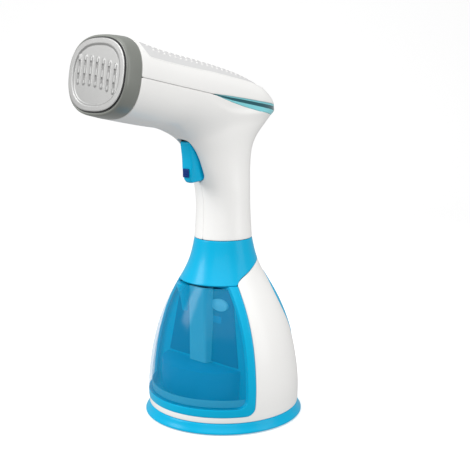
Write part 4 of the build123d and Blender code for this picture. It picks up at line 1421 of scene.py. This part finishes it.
class STEAMER_OT_stage(bpy.types.Operator):
    """Sets the floor, the lights and the camera"""

    bl_idname = "steamer.stage"
    bl_label = "Stage"

    def execute(self, context):
        scene = context.scene
        back = Vector((CAMERA_WAY[0], CAMERA_WAY[1], 0.0)).normalized()
        across = Vector((back.y, -back.x, 0.0))
        outline = [(-2.5, 0.0), (0.9, 0.0)]
        outline += [(0.9 + 0.9 * math.sin(a), 0.9 - 0.9 * math.cos(a)) for a in np.linspace(0.1, 1.57, 16)]
        outline += [(1.8, 4.0)]
        points = []
        for reach, height in outline:
            for side in (-4.0, 4.0):
                points.append(back * reach + across * side + Vector((0, 0, height - 0.0002)))
        faces = [[2 * i, 2 * i + 1, 2 * i + 3, 2 * i + 2] for i in range(len(outline) - 1)]
        mesh = bpy.data.meshes.new("floor")
        mesh.from_pydata([tuple(p) for p in points], [], faces)
        mesh.shade_smooth()
        floor = bpy.data.objects.new("floor", mesh)
        scene.collection.objects.link(floor)
        made, place, surface = material("floor_paint")
        cloud = place.noise(1.4, 2.0)
        tone = cloud.blend((0.86, 0.86, 0.86, 1.0), (0.88, 0.88, 0.88, 1.0))
        feed(made.node_tree, surface, Base_Color=tone, Roughness=0.75, Emission_Strength=0.34)
        feed(made.node_tree, surface, Emission_Color=(1.0, 1.0, 1.0, 1.0))
        floor.visible_glossy = False
        floor.visible_diffuse = False
        mesh.materials.append(made)

        world = bpy.data.worlds.new("studio")
        world.use_nodes = True
        background = world.node_tree.nodes["Background"]
        background.inputs["Color"].default_value = (1.0, 1.0, 1.0, 1.0)
        background.inputs["Strength"].default_value = 0.5
        scene.world = world

        middle = Vector(LAMP_TARGET)
        left = -across if across.x < 0 else across
        for name, aside, ahead, above, size, energy in LAMPS:
            place = middle + left * aside - back * ahead + Vector((0, 0, above))
            light = bpy.data.lights.new(name, "AREA")
            light.shape = "RECTANGLE"
            light.size, light.size_y = size
            light.energy = energy
            made = bpy.data.objects.new(name, light)
            scene.collection.objects.link(made)
            made.location = place
            made.rotation_mode = "QUATERNION"
            made.rotation_quaternion = (middle - place).to_track_quat("-Z", "Y")

        camera = bpy.data.cameras.new("camera")
        camera.lens = CAMERA_LENS
        camera.sensor_width = 36.0
        camera.clip_start = 0.01
        camera.clip_end = 20.0
        eye = bpy.data.objects.new("camera", camera)
        scene.collection.objects.link(eye)
        eye.location = CAMERA_PLACE
        eye.rotation_mode = "QUATERNION"
        eye.rotation_quaternion = Vector(CAMERA_WAY).to_track_quat("-Z", "Y")
        scene.camera = eye
        scene.view_settings.view_transform = "Standard"
        return {"FINISHED"}


class STEAMER_PT_panel(bpy.types.Panel):
    """Lists the steamer's pieces, colours and sizes"""

    bl_label = "Garment steamer"
    bl_idname = "STEAMER_PT_panel"
    bl_space_type = "VIEW_3D"
    bl_region_type = "UI"
    bl_category = "Steamer"

    def draw(self, context):
        for operator in OPERATORS:
            self.layout.operator(operator.bl_idname)
        for group in (context.scene.steamer_colours, context.scene.steamer_sizes):
            for key in group.bl_rna.properties.keys():
                if key not in ("rna_type", "name"):
                    self.layout.prop(group, key)


OPERATORS = (
    STEAMER_OT_base,
    STEAMER_OT_body,
    STEAMER_OT_tank,
    STEAMER_OT_handle,
    STEAMER_OT_vents,
    STEAMER_OT_face,
    STEAMER_OT_trigger,
    STEAMER_OT_inside,
    STEAMER_OT_stage,
)
CLASSES = (SteamerColours, SteamerSizes) + OPERATORS + (STEAMER_PT_panel,)


def register():
    """Adds the settings, the operators and the panel."""
    for each in CLASSES:
        bpy.utils.register_class(each)
    bpy.types.Scene.steamer_colours = bpy.props.PointerProperty(type=SteamerColours)
    bpy.types.Scene.steamer_sizes = bpy.props.PointerProperty(type=SteamerSizes)


def unregister():
    """Takes away what register added."""
    del bpy.types.Scene.steamer_sizes
    del bpy.types.Scene.steamer_colours
    for each in reversed(CLASSES):
        bpy.utils.unregister_class(each)


def main():
    """Builds every piece and the stage."""
    register()
    bpy.ops.steamer.base()
    bpy.ops.steamer.body()
    bpy.ops.steamer.tank()
    bpy.ops.steamer.handle()
    bpy.ops.steamer.vents()
    bpy.ops.steamer.face()
    bpy.ops.steamer.trigger()
    bpy.ops.steamer.inside()
    bpy.ops.steamer.stage()


if __name__ == "__main__":
    main()
